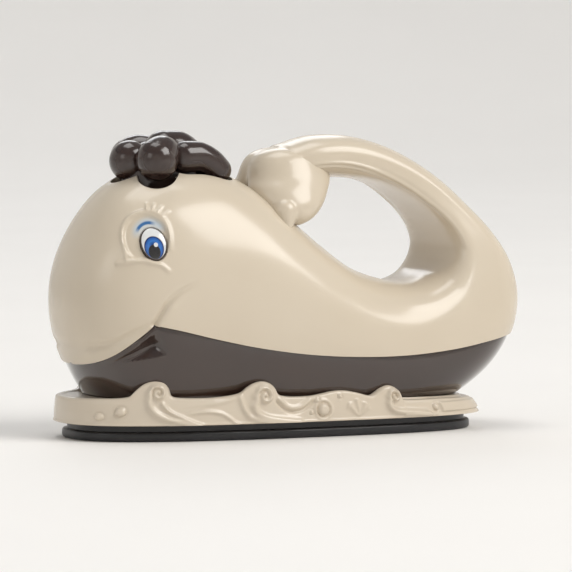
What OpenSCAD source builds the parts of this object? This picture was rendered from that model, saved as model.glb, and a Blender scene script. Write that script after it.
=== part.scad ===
// Toy iron in the form of a whale: two cream body shells whose tail curls over as the handle,
// a brown skirt, a wave trim and a black sole, with a spring-loaded tuft button on the head.
// The nose points to -X, +Z is up, and the sole stands on Z = 0. Lengths are in millimetres.

/* [Body] */
// Length from the nose to the back of the tail bend
body_l = 160; // [152:1:168]
// Greatest width of the body
body_w = 65; // [62:1:70]
// Height of the top of the tail above the table
tail_top = 96; // [92:1:102]
// Wall of the body shells
shell_wall = 2.2; // [1.9:0.1:2.5]

/* [Skirt] */
// Step from the body shells in to the skirt
skirt_step = 0.9; // [0.6:0.1:1.2]
// Wall of the skirt
skirt_wall = 2; // [1.8:0.1:2.4]
// Height of the skirt's lip inside the body shells
lip_h = 4; // [3:0.5:5]
// Thickness of the skirt's floor
floor_t = 2; // [1.6:0.1:2.6]

/* [Wave trim] */
// Length of the trim
trim_l = 145; // [139:1:149]
// Width of the trim at its foot
trim_w = 64; // [62:1:68]
// Height of the belt without its crests
trim_h = 8.6; // [7.4:0.2:10]
// Wall of the trim
trim_wall = 2; // [1.6:0.1:2.4]
// Radius of the largest curled crest
curl_r = 4.6; // [4:0.1:5.2]

/* [Sole] */
// Thickness of the sole plate
sole_t = 3; // [2.8:0.1:3.6]
// Height of the neck between the sole plate and the trim
neck_t = 2.2; // [1.8:0.1:3]
// Step from the trim in to the sole plate
sole_step = 3.2; // [2:0.1:4]
// Step from the sole plate in to the neck
neck_step = 1.6; // [1:0.1:2.4]
// Diameter of the sound holes
sound_hole_d = 2; // [1.6:0.1:2.4]

/* [Tuft button] */
// Length of the tuft
tuft_l = 40; // [37:0.5:43]
// Width of the tuft
tuft_w = 35; // [32:0.5:38]
// Height of the tuft, from its hidden rim to its top curl
tuft_h = 22; // [20.5:0.5:23.5]
// Wall of the tuft's skirt
tuft_wall = 1.8; // [1.4:0.1:2.2]
// How far the tuft can be pressed
press_travel = 2.5; // [1.5:0.1:3]
// Diameter of the plunger
plunger_d = 6; // [5:0.1:7]

/* [Eyes] */
// Width of an eye
eye_w = 9; // [8:0.1:10]
// Height of an eye
eye_h = 11.8; // [10.5:0.1:13]
// Depth of an eye in its pocket
eye_t = 1.4; // [1.2:0.1:1.8]

/* [Batteries and sound] */
// Diameter of a cell
cell_d = 10.5; // [9.5:0.1:11]
// Length of a cell
cell_l = 44.5; // [40:0.5:46]
// Diameter of the speaker
speaker_d = 20; // [17:0.5:21]
// Thickness of the circuit boards
board_t = 1.6; // [1.2:0.1:2]
// Slide of the power switch
switch_travel = 3; // [2:0.1:3.5]

/* [Fits] */
// Gap between pieces that are fixed together
fit_gap = 0.2; // [0.1:0.05:0.3]
// Gap round pieces that move
run_gap = 0.4; // [0.3:0.05:0.6]
// Radial gap of a sliding fit
slide_gap = 0.05; // [0.03:0.01:0.1]

/* [Hidden] */

cream = [0.83, 0.76, 0.65];
brown = [0.17, 0.10, 0.08];
black = [0.06, 0.06, 0.065];
steel = [0.72, 0.72, 0.74];
board_green = [0.12, 0.36, 0.20];

$fn = 48;
// How far cuts run past a face
overrun = 1;

// Whale form: each row is a section, as shares [x, z] of the length and height for the lower or
// outer rail, the same for the upper or inner rail, the half width as a share of the width, and
// the section's roundness on the outer and inner side, where 2 is an ellipse and more is squarer.
section_shares = [
    [-0.500, 0.438, -0.500, 0.479, 0.054, 2.2, 2.2],
    [-0.493, 0.354, -0.491, 0.571, 0.175, 2.2, 2.2],
    [-0.470, 0.240, -0.467, 0.676, 0.292, 2.2, 2.2],
    [-0.430, 0.125, -0.427, 0.780, 0.376, 2.3, 2.2],
    [-0.374, 0.036, -0.380, 0.852, 0.430, 2.4, 2.2],
    [-0.297, -0.010, -0.306, 0.903, 0.469, 2.4, 2.2],
    [-0.200, -0.026, -0.206, 0.904, 0.489, 2.4, 2.2],
    [-0.100, -0.031, -0.116, 0.849, 0.498, 2.4, 2.2],
    [0.000, -0.031, -0.034, 0.750, 0.500, 2.4, 2.2],
    [0.100, -0.021, 0.038, 0.651, 0.492, 2.4, 2.2],
    [0.200, 0.010, 0.107, 0.566, 0.477, 2.4, 2.3],
    [0.294, 0.052, 0.179, 0.519, 0.454, 2.4, 2.5],
    [0.373, 0.115, 0.242, 0.502, 0.426, 2.4, 3.2],
    [0.438, 0.198, 0.294, 0.524, 0.396, 2.4, 4.0],
    [0.482, 0.302, 0.322, 0.570, 0.365, 2.4, 4.8],
    [0.500, 0.427, 0.330, 0.628, 0.336, 2.4, 5.0],
    [0.485, 0.552, 0.317, 0.686, 0.309, 2.4, 5.0],
    [0.444, 0.661, 0.291, 0.738, 0.284, 2.4, 4.6],
    [0.388, 0.758, 0.258, 0.782, 0.262, 2.4, 4.2],
    [0.329, 0.847, 0.220, 0.818, 0.243, 2.4, 3.8],
    [0.263, 0.920, 0.180, 0.842, 0.227, 2.4, 3.4],
    [0.194, 0.972, 0.138, 0.854, 0.214, 2.4, 3.0],
    [0.122, 1.000, 0.088, 0.858, 0.203, 2.4, 2.4],
    [0.051, 1.000, 0.035, 0.852, 0.197, 2.4, 2.3],
    [-0.006, 0.974, -0.002, 0.839, 0.182, 2.4, 2.2],
];
// Skins have this many rings a section and sides a ring, outside and inside
fine_rings = 2;
fine_sides = 22;
coarse_rings = 1;
coarse_sides = 14;

function signed_power(v, p) = sign(v) * pow(abs(v), p);
function unit(v) = v / norm(v);
// Smooth curve through the rows of a table, at a place u counted in rows
function through(rows, u) =
    let (
        last = len(rows) - 1,
        i = min(floor(u), last - 1),
        t = u - i,
        a = rows[max(i - 1, 0)],
        b = rows[i],
        c = rows[i + 1],
        d = rows[min(i + 2, last)]
    )
    (2 * b + (c - a) * t + (2 * a - 5 * b + 4 * c - d) * t * t + (3 * b - a - 3 * c + d) * t * t * t) / 2;
function smooth(rows, steps) =
    [for (i = [0 : (len(rows) - 1) * steps]) through(rows, i / steps)];

// The whale's foot stands inside the trim and keeps to the trim's length and width. Higher up, between
// two levels given as shares of the height, the form goes over to the length and width of the body.
foot_overhang = 15;
foot_l = trim_l + foot_overhang;
foot_flare = 1;
foot_w = trim_w + foot_flare;
foot_level_shares = [0.21, 0.45];
function foot_part(level) =
    min(max((foot_level_shares[1] - level) / (foot_level_shares[1] - foot_level_shares[0]), 0), 1);

// A point of the whale's skin: u counts sections from the nose, turn goes round the section
function skin_point(u, turn) =
    let (
        s = through(section_shares, u),
        low = [s[0], s[1]],
        high = [s[2], s[3]],
        power = 2 / (cos(turn) < 0 ? s[5] : s[6]),
        middle = (low + high) / 2 + (high - low) / 2 * signed_power(cos(turn), power),
        foot = foot_part(middle[1]),
        length = body_l + (foot_l - body_l) * foot,
        width = body_w + (foot_w - body_w) * foot
    )
    [middle[0] * length, s[4] * width * signed_power(sin(turn), power), middle[1] * tail_top];
function skin(rings, sides) = [
    for (i = [0 : (len(section_shares) - 1) * rings])
        [for (k = [0 : sides - 1]) skin_point(i / rings, 360 * k / sides)]
];
// A skin moved inwards by a depth, along each point's normal
function moved_in(grid, depth) =
    let (rows = len(grid), sides = len(grid[0]))
    [
        for (i = [0 : rows - 1])
            [
                for (k = [0 : sides - 1])
                    let (
                        along = grid[min(i + 1, rows - 1)][k] - grid[max(i - 1, 0)][k],
                        across = grid[i][(k + 1) % sides] - grid[i][(k + sides - 1) % sides]
                    )
                    grid[i][k] - depth * unit(cross(along, across))
            ]
    ];

// A closed solid from rings of points, with a flat cap at each end
module lofted(rings) {
    sides = len(rings[0]);
    count = len(rings);
    polyhedron(
        points = [for (ring = rings) for (p = ring) p],
        faces = concat(
            [[for (k = [sides - 1 : -1 : 0]) k]],
            [[for (k = [0 : sides - 1]) (count - 1) * sides + k]],
            [
                for (i = [0 : count - 2], k = [0 : sides - 1])
                    let (a = i * sides + k, b = i * sides + (k + 1) % sides)
                    each [[a, b, a + sides], [b, b + sides, a + sides]]
            ]
        ),
        convexity = 6
    );
}
// The whale's form with its skin moved inwards, finely for outer faces and coarsely for inner ones
module whale(depth) {
    lofted(moved_in(skin(fine_rings, fine_sides), depth));
}
module whale_core(depth) {
    lofted(moved_in(skin(coarse_rings, coarse_sides), depth));
}

// Line between the shells and the skirt, seen from the side: the lip rises from the nose to the
// corner of the mouth, and the belly line runs from there to the tail
lip_shares = [
    [-0.560, 0.228], [-0.508, 0.235], [-0.476, 0.247], [-0.440, 0.283], [-0.403, 0.335], [-0.367, 0.388],
];
belly_shares = [
    [-0.367, 0.388], [-0.314, 0.369], [-0.239, 0.338], [-0.146, 0.305], [-0.039, 0.279], [0.072, 0.266],
    [0.185, 0.265], [0.298, 0.279], [0.391, 0.302], [0.479, 0.325], [0.560, 0.335],
];
parting_line = [
    for (p = concat(smooth(lip_shares, 3), smooth(belly_shares, 3))) [p[0] * body_l, p[1] * tail_top]
];
// All that lies above the parting line moved up by rise, or below it
module parted(above, rise) {
    far = tail_top + body_w;
    edge = above ? far : -far;
    first = parting_line[0] - [body_w, 0];
    last = parting_line[len(parting_line) - 1] + [body_w, 0];
    rotate([90, 0, 0])
        linear_extrude(body_w + 2 * overrun, center = true)
            polygon(concat(
                [[first[0], edge]],
                [for (p = concat([first], parting_line, [last])) [p[0], p[1] + rise]],
                [[last[0], edge]]
            ));
}

// Flukes at the end of the tail: pairs of balls joined down each side and across the root, as shares
// of the length, width and height, with the ball's radius as a share of the width
fluke_shares = [
    [0.019, 0.090, 0.925, 0.108],
    [-0.011, 0.155, 0.862, 0.146],
    [-0.026, 0.200, 0.786, 0.118],
    [-0.043, 0.243, 0.729, 0.054],
];
fluke_core_r = 0.5;
module fluke_ball(row, side, depth) {
    s = fluke_shares[row];
    translate([s[0] * body_l, side * s[1] * body_w, s[2] * tail_top])
        sphere(max(s[3] * body_w - depth, fluke_core_r), $fn = depth > 0 ? 10 : 16);
}
module flukes(depth) {
    for (side = [-1, 1], row = [1, 2])
        hull() {
            fluke_ball(row, side, depth);
            fluke_ball(row + 1, side, depth);
        }
    hull()
        for (side = [-1, 1], row = [0, 1])
            fluke_ball(row, side, depth);
}

// Screws
screw_r = 1.1;
screw_gap = 0.15;
head_r = 2.3;
head_h = 1.4;
drive_w = 0.7;
drive_l = 2.6;
drive_depth = 0.8;
boss_r = 2.7;
// A pan-head screw whose shank points along -Z from the underside of its head
module screw(length) {
    difference() {
        union() {
            cylinder(h = head_h, r = head_r);
            translate([0, 0, -length]) cylinder(h = length + head_h / 2, r = screw_r);
        }
        for (a = [0, 90])
            rotate(a)
                translate([-drive_l / 2, -drive_w / 2, head_h - drive_depth])
                    cube([drive_l, drive_w, drive_depth + overrun]);
    }
}

// Levels of the base
base_top = sole_t + neck_t;
floor_top = base_top + floor_t;

// Outline of the base, a blunt oval whose widest place lies at base_x
base_setback = 0.3;
base_front = -foot_l / 2 + base_setback;
base_x_share = 0.508;
base_x = base_front + base_x_share * trim_l;
base_power = 2.6;
base_rear_power = 3.2;
outline_sides = 56;
function base_outline(side_in, rear_in) = [
    for (k = [0 : outline_sides - 1])
        let (
            turn = 360 * k / outline_sides,
            rear = cos(turn) > 0,
            power = 2 / (rear ? base_rear_power : base_power),
            reach = rear ? base_front + trim_l - base_x - rear_in : base_x - base_front - side_in
        )
        [
            base_x + reach * signed_power(cos(turn), power),
            (trim_w / 2 - side_in) * signed_power(sin(turn), power),
        ]
];

// Cells and the box that holds them
door_t = 2;
door_sink = 0.3;
door_ledge = 1.8;
door_ceiling = door_sink + door_t + fit_gap;
cell_space = 1;
cell_y = (cell_d + cell_space) / 2;
cell_z = door_ceiling + fit_gap + cell_d / 2;
contact_room = 3.4;
contact_t = 0.4;
box_wall = 1.8;
box_half_l = cell_l / 2 + contact_room;
box_half_w = cell_y + cell_d / 2 + cell_space / 2;
box_top = cell_z + cell_d / 2 + fit_gap + box_wall;
box_corner_r = 1.2;
// The door's screw sits in an ear in front of the box
ear_r = 3.6;
ear_x = -(box_half_l + door_ledge + ear_r);
ear_boss_h = 8;
tab_w = 5;
tab_l = 2;
tab_t = 1.1;

// Power switch beside the door's ear
switch_w = 5.6;
switch_l = 9;
switch_h = 4.6;
switch_room = 2.5;
switch_x = ear_x;
switch_y = ear_r + switch_room + switch_l / 2;
knob_w = 3;
knob_l = 3;
knob_stem_w = 2;
knob_stem_l = 1.6;
knob_t = 1.6;
knob_sink = 0.5;
knob_ceiling = knob_sink + knob_t + run_gap;

// Speaker behind the nose
speaker_rim_t = 1.4;
speaker_rim_w = 1.6;
speaker_h = 5;
speaker_skin = 0.8;
speaker_ring_t = 1.4;
speaker_ring_h = 3;
speaker_ring_r = speaker_d / 2 + 2 * fit_gap + speaker_ring_t;
speaker_room = 1.5;
speaker_x = ear_x - ear_r - speaker_room - speaker_ring_r;
magnet_r_share = 0.27;
magnet_h = 4;
sound_hole_step = 3.6;
sound_hole_rings = 2;

// Screws that hold the sole to the skirt, a pair before the switch and a pair behind the door
sole_screw_l = 8;
sole_boss_h = 7;
front_screw_share = 0.25;
rear_screw_share = 0.11;
sole_screw_places = [
    for (side = [-1, 1])
        each [
            [switch_x - switch_w / 2 - 2 * boss_r, side * front_screw_share * trim_w],
            [box_half_l + door_ledge + tab_l + 4 * boss_r, side * rear_screw_share * trim_w],
        ]
];

module rounded_box(size, r) {
    linear_extrude(size[2])
        union() {
            translate([-size[0] / 2 + r, -size[1] / 2]) square([size[0] - 2 * r, size[1]]);
            translate([-size[0] / 2, -size[1] / 2 + r]) square([size[0], size[1] - 2 * r]);
            for (x = [-1, 1], y = [-1, 1])
                translate([x * (size[0] / 2 - r), y * (size[1] / 2 - r)]) circle(r);
        }
}
// Plan of the door, grown by a gap
module door_plan(height, gap) {
    rounded_box(
        [2 * (box_half_l + door_ledge + gap), 2 * (box_half_w + door_ledge + gap), height],
        box_corner_r + gap
    );
    translate([ear_x, 0, 0]) cylinder(h = height, r = ear_r + gap);
    translate([ear_x, -ear_r - gap, 0]) cube([-ear_x, 2 * (ear_r + gap), height]);
}
// Tabs at the door's rear edge, grown by a gap
module door_tabs(gap) {
    for (side = [-1, 1])
        translate([
            box_half_l,
            side * box_half_w / 2 - tab_w / 2 - gap,
            door_ceiling - fit_gap - tab_t - gap,
        ])
            cube([door_ledge + tab_l + gap, tab_w + 2 * gap, tab_t + gap]);
}

board_lift = 3;
board_z = box_top + board_lift;
board_inset = 1.4;
standoff_r = 2.4;
board_screw_l = 4;
standoff_places = [
    for (x = [-1, 1], y = [-1, 1])
        [x * (box_half_l + box_wall - standoff_r), y * (box_half_w + box_wall - standoff_r)]
];

module sole() {
    edge = sole_t / 5;
    color(black) difference() {
        union() {
            linear_extrude(edge) polygon(base_outline(sole_step + edge, sole_step + edge));
            translate([0, 0, edge])
                linear_extrude(sole_t - edge) polygon(base_outline(sole_step, sole_step));
            translate([0, 0, sole_t - overrun])
                linear_extrude(neck_t + overrun)
                    polygon(base_outline(sole_step + neck_step, sole_step + neck_step));
            translate([0, 0, door_ceiling])
                rounded_box(
                    [2 * (box_half_l + box_wall), 2 * (box_half_w + box_wall), box_top - door_ceiling],
                    box_corner_r
                );
            translate([ear_x, 0, sole_t]) cylinder(h = neck_t + ear_boss_h, r = boss_r);
            for (p = standoff_places)
                translate([p[0], p[1], box_top - overrun])
                    cylinder(h = board_lift + overrun, r = standoff_r);
        }
        translate([-box_half_l, -box_half_w, -overrun])
            cube([2 * box_half_l, 2 * box_half_w, box_top - box_wall + overrun]);
        translate([0, 0, -overrun]) door_plan(door_ceiling + overrun, fit_gap);
        door_tabs(fit_gap);
        translate([ear_x, 0, 0]) cylinder(h = base_top + ear_boss_h - overrun, r = screw_r + slide_gap);
        for (p = standoff_places)
            translate([p[0], p[1], board_z - board_screw_l])
                cylinder(h = board_screw_l + overrun, r = screw_r + slide_gap);
        for (p = sole_screw_places)
            translate([p[0], p[1], -overrun]) {
                cylinder(h = base_top + 2 * overrun, r = screw_r + screw_gap);
                cylinder(h = overrun + door_sink + head_h, r = head_r + screw_gap);
            }
        translate([switch_x, switch_y, -overrun])
            translate([-knob_w / 2 - run_gap, -(knob_l + switch_travel) / 2 - run_gap, 0])
                cube([knob_w + 2 * run_gap, knob_l + switch_travel + 2 * run_gap, knob_ceiling + overrun]);
        translate([
            switch_x - knob_stem_w / 2 - run_gap,
            switch_y - (knob_stem_l + switch_travel) / 2 - run_gap,
            0,
        ])
            cube([knob_stem_w + 2 * run_gap, knob_stem_l + switch_travel + 2 * run_gap, base_top + overrun]);
        for (ring = [0 : sound_hole_rings], k = [0 : max(6 * ring - 1, 0)])
            translate([speaker_x, 0, -overrun])
                rotate(ring == 0 ? 0 : 60 * k / ring)
                    translate([ring * sound_hole_step, 0, 0])
                        cylinder(h = base_top + 2 * overrun, r = sound_hole_d / 2);
        for (p = trim_peg_places)
            translate([p[0], p[1], base_top - peg_l - fit_gap])
                cylinder(h = peg_l + fit_gap + overrun, r = peg_r + slide_gap);
    }
}

// Pegs under the trim that hold it on the sole
peg_r = 1.2;
peg_l = 1.6;
peg_in = 7.5;
peg_turns = [50, 130, 230, 310];
trim_peg_places = [
    for (turn = peg_turns)
        let (ring = base_outline(peg_in, peg_in)) ring[round(turn / 360 * outline_sides)]
];

// Belt of the trim: levels as shares of its height, with the steps inwards at the side and the rear
belt_side_in_shares = [[0, 0], [0.45, 0.03], [0.80, 0.12], [0.95, 0.22], [1, 0.36]];
belt_rear_in_shares = [[0, 0], [0.45, 0.18], [0.80, 0.36], [0.95, 0.46], [1, 0.58]];
// Curled crests on each side: place along the trim and size against the largest
crest_shares = [[0.150, 1], [0.388, 0.95], [0.722, 0.80]];
// Low swell between the crests, with its place along the trim
swell_share = 0.6;
swell_l = 10.4;
swell_r = 1.6;
swell_drop = 1;
// The belt is lower towards the rear
belt_drop_share = 0.3;
function belt_h(x) = trim_h * (1 - belt_drop_share * (x - base_front) / trim_l);
module trim() {
    color(cream) {
        difference() {
            union() {
                lofted([
                    for (i = [len(belt_side_in_shares) - 1 : -1 : 0])
                        [
                            for (p = base_outline(
                                belt_side_in_shares[i][1] * trim_h,
                                belt_rear_in_shares[i][1] * trim_h
                            ))
                                [p[0], p[1], base_top + belt_side_in_shares[i][0] * belt_h(p[0])]
                        ]
                ]);
                crests();
            }
            whale(skirt_step - fit_gap);
            difference() {
                translate([0, 0, base_top - overrun])
                    linear_extrude(belt_h(base_front + trim_l) - trim_wall + overrun)
                        polygon(base_outline(2 * trim_wall, 3 * trim_wall));
                for (p = trim_peg_places)
                    translate([p[0], p[1], 0]) cylinder(h = tail_top, r = 2 * peg_r, $fn = 16);
            }
        }
        for (p = trim_peg_places)
            translate([p[0], p[1], base_top - peg_l]) cylinder(h = peg_l + overrun, r = peg_r, $fn = 16);
    }
}
// A crest's spiral: angles in degrees, and the spiral's and its wire's radii at its start and end
// as shares of the crest's size
curl_start = 200;
curl_sweep = 440;
curl_steps = 11;
curl_sides = 6;
spiral_r_shares = [0.78, 0.20];
spiral_wire_shares = [0.22, 0.16];
// The hump behind the spiral: [x, z, radius] of its rounds, and its thickness
hump_shares = [[0, 0, 0.84], [-2.2, -0.9, 0.3], [0.6, -0.9, 0.3]];
hump_t_share = 0.3;
// How far a crest stands above the belt and inside its edge
crest_lift_share = 0.3;
crest_in_share = 0.3;
module crests() {
    for (side = [-1, 1], crest = crest_shares)
        on_belt(base_front + crest[0] * trim_l, side, crest_in_share * crest[1] * curl_r)
            curl(crest[1] * curl_r);
    for (side = [-1, 1])
        on_belt(base_front + swell_share * trim_l, side, swell_r / 2)
            hull()
                for (along = [-1, 0, 1])
                    translate([along * swell_l / 2, 0, -abs(along) * swell_drop])
                        sphere(swell_r, $fn = 10);
}
// Place on the belt's upper edge, a depth inside it, with the local -Y pointing out of the side
module on_belt(x, side, depth) {
    reach = x < base_x ? base_x - base_front : base_front + trim_l - base_x;
    power = x < base_x ? base_power : base_rear_power;
    lean = pow(abs(x - base_x) / reach, power);
    y = trim_w / 2 * pow(1 - lean, 1 / power);
    slope = -sign(x - base_x) * trim_w / 2 / reach * pow(abs(x - base_x) / reach, power - 1)
        * pow(1 - lean, 1 / power - 1);
    translate([x, side * (y - depth), base_top + belt_h(x)])
        rotate(side * atan(slope))
            mirror([0, side > 0 ? 1 : 0, 0])
                children();
}
// One crest that rises from the belt and curls over towards the rear: a spiral on a solid hump
module curl(size) {
    translate([0, 0, size * crest_lift_share]) {
        lofted([
            for (i = [0 : curl_steps])
                let (
                    t = i / curl_steps,
                    a = curl_start - curl_sweep * t,
                    r = size * through(spiral_r_shares, t),
                    wire = size * through(spiral_wire_shares, t)
                )
                [
                    for (k = [0 : curl_sides - 1])
                        let (turn = 360 * k / curl_sides, out = r + wire * cos(turn))
                        [out * cos(a), wire * sin(turn), out * sin(a)]
                ]
        ]);
        hull()
            for (round = hump_shares)
                translate([round[0] * size, 0, round[1] * size])
                    rotate([-90, 0, 0])
                        cylinder(h = hump_t_share * size, r = round[2] * size, $fn = 16);
    }
}

module skirt() {
    lip_out = shell_wall + fit_gap;
    lip_t = skirt_step + skirt_wall - lip_out + skirt_wall / 2;
    color(brown) difference() {
        union() {
            difference() {
                intersection() {
                    whale(skirt_step);
                    parted(false, 0);
                }
                difference() {
                    whale_core(skirt_step + skirt_wall);
                    floor_slab(floor_top);
                }
            }
            intersection() {
                difference() {
                    whale_core(lip_out);
                    whale_core(lip_out + lip_t);
                }
                parted(false, lip_h);
                parted(true, -lip_h);
            }
            intersection() {
                whale_core(skirt_step + skirt_wall / 2);
                skirt_bosses();
            }
        }
        floor_slab(base_top);
        translate([0, 0, base_top - overrun])
            linear_extrude(floor_t + 2 * overrun) {
                translate([ear_x - ear_r - fit_gap, -box_half_w - box_wall - fit_gap])
                    square([
                        box_half_l + box_wall + fit_gap - ear_x + ear_r + fit_gap,
                        2 * (box_half_w + box_wall + fit_gap),
                    ]);
                translate([switch_x - switch_w / 2 - fit_gap, 0])
                    square([switch_w + 2 * fit_gap, switch_y + switch_l / 2 + fit_gap]);
                translate([speaker_x, 0]) circle(speaker_d / 2 - speaker_rim_w, $fn = 32);
            }
        for (p = sole_screw_places)
            translate([p[0], p[1], base_top - overrun])
                cylinder(h = sole_boss_h, r = screw_r + screw_gap, $fn = 16);
    }
}
module floor_slab(top) {
    translate([-body_l, -body_w, -tail_top]) cube([2 * body_l, 2 * body_w, tail_top + top]);
}
// Bosses for the sole's screws, each with a rib to the wall, and the speaker's ring
module skirt_bosses() {
    for (p = sole_screw_places) {
        translate([p[0], p[1], base_top]) cylinder(h = sole_boss_h, r = boss_r, $fn = 20);
        hull() {
            translate([p[0], p[1], base_top]) cylinder(h = sole_boss_h - overrun, r = boss_r / 3, $fn = 12);
            translate([p[0], sign(p[1]) * body_w / 2, base_top])
                cylinder(h = sole_boss_h - overrun, r = boss_r / 3, $fn = 12);
        }
        hull() {
            translate([p[0], p[1], base_top]) cylinder(h = sole_boss_h - overrun, r = boss_r / 3, $fn = 12);
            translate([p[0] + sign(p[0]) * 2 * boss_r, p[1], base_top])
                cylinder(h = floor_t, r = boss_r / 3, $fn = 12);
        }
    }
    translate([speaker_x, 0, base_top])
        difference() {
            cylinder(h = floor_t + speaker_ring_h, r = speaker_ring_r, $fn = 32);
            translate([0, 0, floor_t])
                cylinder(h = speaker_ring_h + overrun, r = speaker_ring_r - speaker_ring_t, $fn = 32);
        }
}

// Screws that join the two body shells: [x, z] shares
post_shares = [[-0.440, 0.500], [-0.090, 0.660], [0.420, 0.440], [0.154, 0.920]];
post_places = [for (s = post_shares) [s[0] * body_l, s[1] * tail_top]];
post_seat = 6;
body_screw_l = 14;
post_taper = 0.8;
module along_y(place) {
    translate([place[0], 0, place[1]]) rotate([-90, 0, 0]) children();
}

// Levels of the button, from the tuft's hidden rim down to the switch
tuft_x_share = -0.25;
tuft_x = tuft_x_share * body_l;
tuft_base_share = 0.797;
tuft_base = tuft_base_share * tail_top;
guide_t = 3;
guide_room = 0.6;
guide_top = tuft_base - press_travel - head_h - guide_room;
guide_bottom = guide_top - guide_t;
guide_l = 32;
guide_w = 28;
guide_corner_r = 3;
guide_in = 3.6;
guide_screw_l = 8;
bracket_h = 9;
guide_places = [
    for (x = [-1, 1], y = [-1, 1])
        [tuft_x + x * (guide_l / 2 - guide_in), y * (guide_w / 2 - guide_in)]
];
stop_gap = 0.1;
stop_lip = 1.2;
stop_r = plunger_d / 2 + stop_lip;
stop_h = 1.6;
plunger_bottom = guide_bottom - stop_gap;
stop_bottom = plunger_bottom - stop_h;

// The tuft's curls: [x, y, z, radius] shares of its length, width, height and height
curl_shares = [
    [-0.388, 0, 0.455, 0.282],
    [-0.215, 0, 0.500, 0.250],
    [-0.255, -0.257, 0.536, 0.268],
    [-0.255, 0.257, 0.536, 0.268],
    [-0.062, 0, 0.660, 0.327],
    [0, -0.243, 0.568, 0.255],
    [0, 0.243, 0.568, 0.255],
    [0.175, 0, 0.568, 0.245],
    [0.175, -0.214, 0.545, 0.227],
    [0.175, 0.214, 0.545, 0.227],
    [0.338, -0.243, 0.400, 0.209],
    [0.338, 0.243, 0.400, 0.209],
];
// Plan of the tuft under its curls, changed by a gap
module tuft_plan(height, gap, sides) {
    for (s = curl_shares)
        translate([tuft_x + s[0] * tuft_l, s[1] * tuft_w, 0])
            cylinder(h = height, r = s[3] * tuft_h + gap, $fn = sides);
}

// Place of an eye on the skin, as shares of the way along the sections and of a full turn round one,
// with the steps to either side that give the skin's directions there
eye_shares = [21 / 120, 61 / 360];
eye_step_shares = [1 / 120, 4 / 360];
function eye_skin(shares, side) = skin_point(shares[0] * (len(section_shares) - 1), side * shares[1] * 360);
module at_eye(side) {
    at = eye_skin(eye_shares, side);
    along = [eye_step_shares[0], 0];
    about = [0, eye_step_shares[1]];
    forth = unit(eye_skin(eye_shares + along, side) - eye_skin(eye_shares - along, side));
    up = unit(eye_skin(eye_shares - about, side) - eye_skin(eye_shares + about, side));
    out = -side * unit(cross(forth, up));
    rise = cross(out, forth) * -side;
    multmatrix([
        [forth[0], rise[0], out[0], at[0]],
        [forth[1], rise[1], out[1], at[1]],
        [forth[2], rise[2], out[2], at[2]],
        [0, 0, 0, 1],
    ])
        mirror([0, side > 0 ? 1 : 0, 0])
            children();
}
eye_sides = 32;
module eye_plan(grow) {
    polygon([
        for (k = [0 : eye_sides - 1])
            [
                (eye_w / 2 + grow) * cos(360 * k / eye_sides),
                (eye_h / 2 + grow) * sin(360 * k / eye_sides),
            ]
    ]);
}

// One body shell: side -1 is the left shell and 1 the right one
pocket_wall = 1.6;
module body_shell(side) {
    difference() {
        union() {
            difference() {
                union() {
                    intersection() {
                        whale(0);
                        parted(true, 0);
                    }
                    flukes(0);
                }
                whale_core(shell_wall);
                flukes(shell_wall);
            }
            intersection() {
                whale_core(shell_wall / 2);
                parted(true, lip_h);
                union() {
                    shell_posts(side);
                    guide_brackets();
                    at_eye(side)
                        translate([0, 0, -eye_t - fit_gap - pocket_wall])
                            linear_extrude(eye_t + pocket_wall) eye_plan(fit_gap + pocket_wall);
                }
            }
        }
        translate([-body_l, side < 0 ? 0 : -2 * body_w, -overrun])
            cube([2 * body_l, 2 * body_w, 2 * tail_top]);
        translate([0, 0, tuft_base - press_travel - overrun]) tuft_plan(tuft_h, run_gap, 22);
        at_eye(side)
            translate([0, 0, -eye_t - fit_gap])
                linear_extrude(eye_h) eye_plan(fit_gap);
        for (p = post_places)
            along_y(p)
                if (side < 0)
                    translate([0, 0, post_seat - body_screw_l - overrun])
                        cylinder(h = body_screw_l, r = screw_r + screw_gap, $fn = 16);
                else {
                    translate([0, 0, -overrun])
                        cylinder(h = post_seat + 2 * overrun, r = screw_r + screw_gap, $fn = 16);
                    translate([0, 0, post_seat])
                        cylinder(h = body_w, r = head_r + screw_gap, $fn = 20);
                }
        for (p = guide_places)
            translate([p[0], p[1], guide_bottom - guide_screw_l])
                cylinder(h = guide_screw_l + overrun, r = screw_r + screw_gap, $fn = 16);
    }
}
module shell_posts(side) {
    r = side < 0 ? boss_r : head_r + screw_gap + shell_wall / 2;
    for (p = post_places)
        along_y(p)
            hull() {
                translate([0, 0, side < 0 ? -overrun : 0]) cylinder(h = overrun, r = r, $fn = 18);
                translate([0, 0, side * body_w / 2]) cylinder(h = overrun, r = r + post_taper, $fn = 18);
            }
}
// Brackets on the shells' inner walls that carry the button's guide
module guide_brackets() {
    for (p = guide_places)
        hull() {
            translate([p[0], p[1], guide_bottom - bracket_h]) cylinder(h = bracket_h, r = boss_r, $fn = 16);
            translate([p[0], sign(p[1]) * body_w / 2, guide_bottom - 2 * bracket_h])
                cylinder(h = 2 * bracket_h, r = boss_r / 2, $fn = 16);
        }
}
module body_left() {
    color(cream) body_shell(-1);
}
module body_right() {
    color(cream) body_shell(1);
}
module body_screws() {
    color(steel)
        for (p = post_places)
            along_y(p) translate([0, 0, post_seat]) screw(body_screw_l);
}

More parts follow.
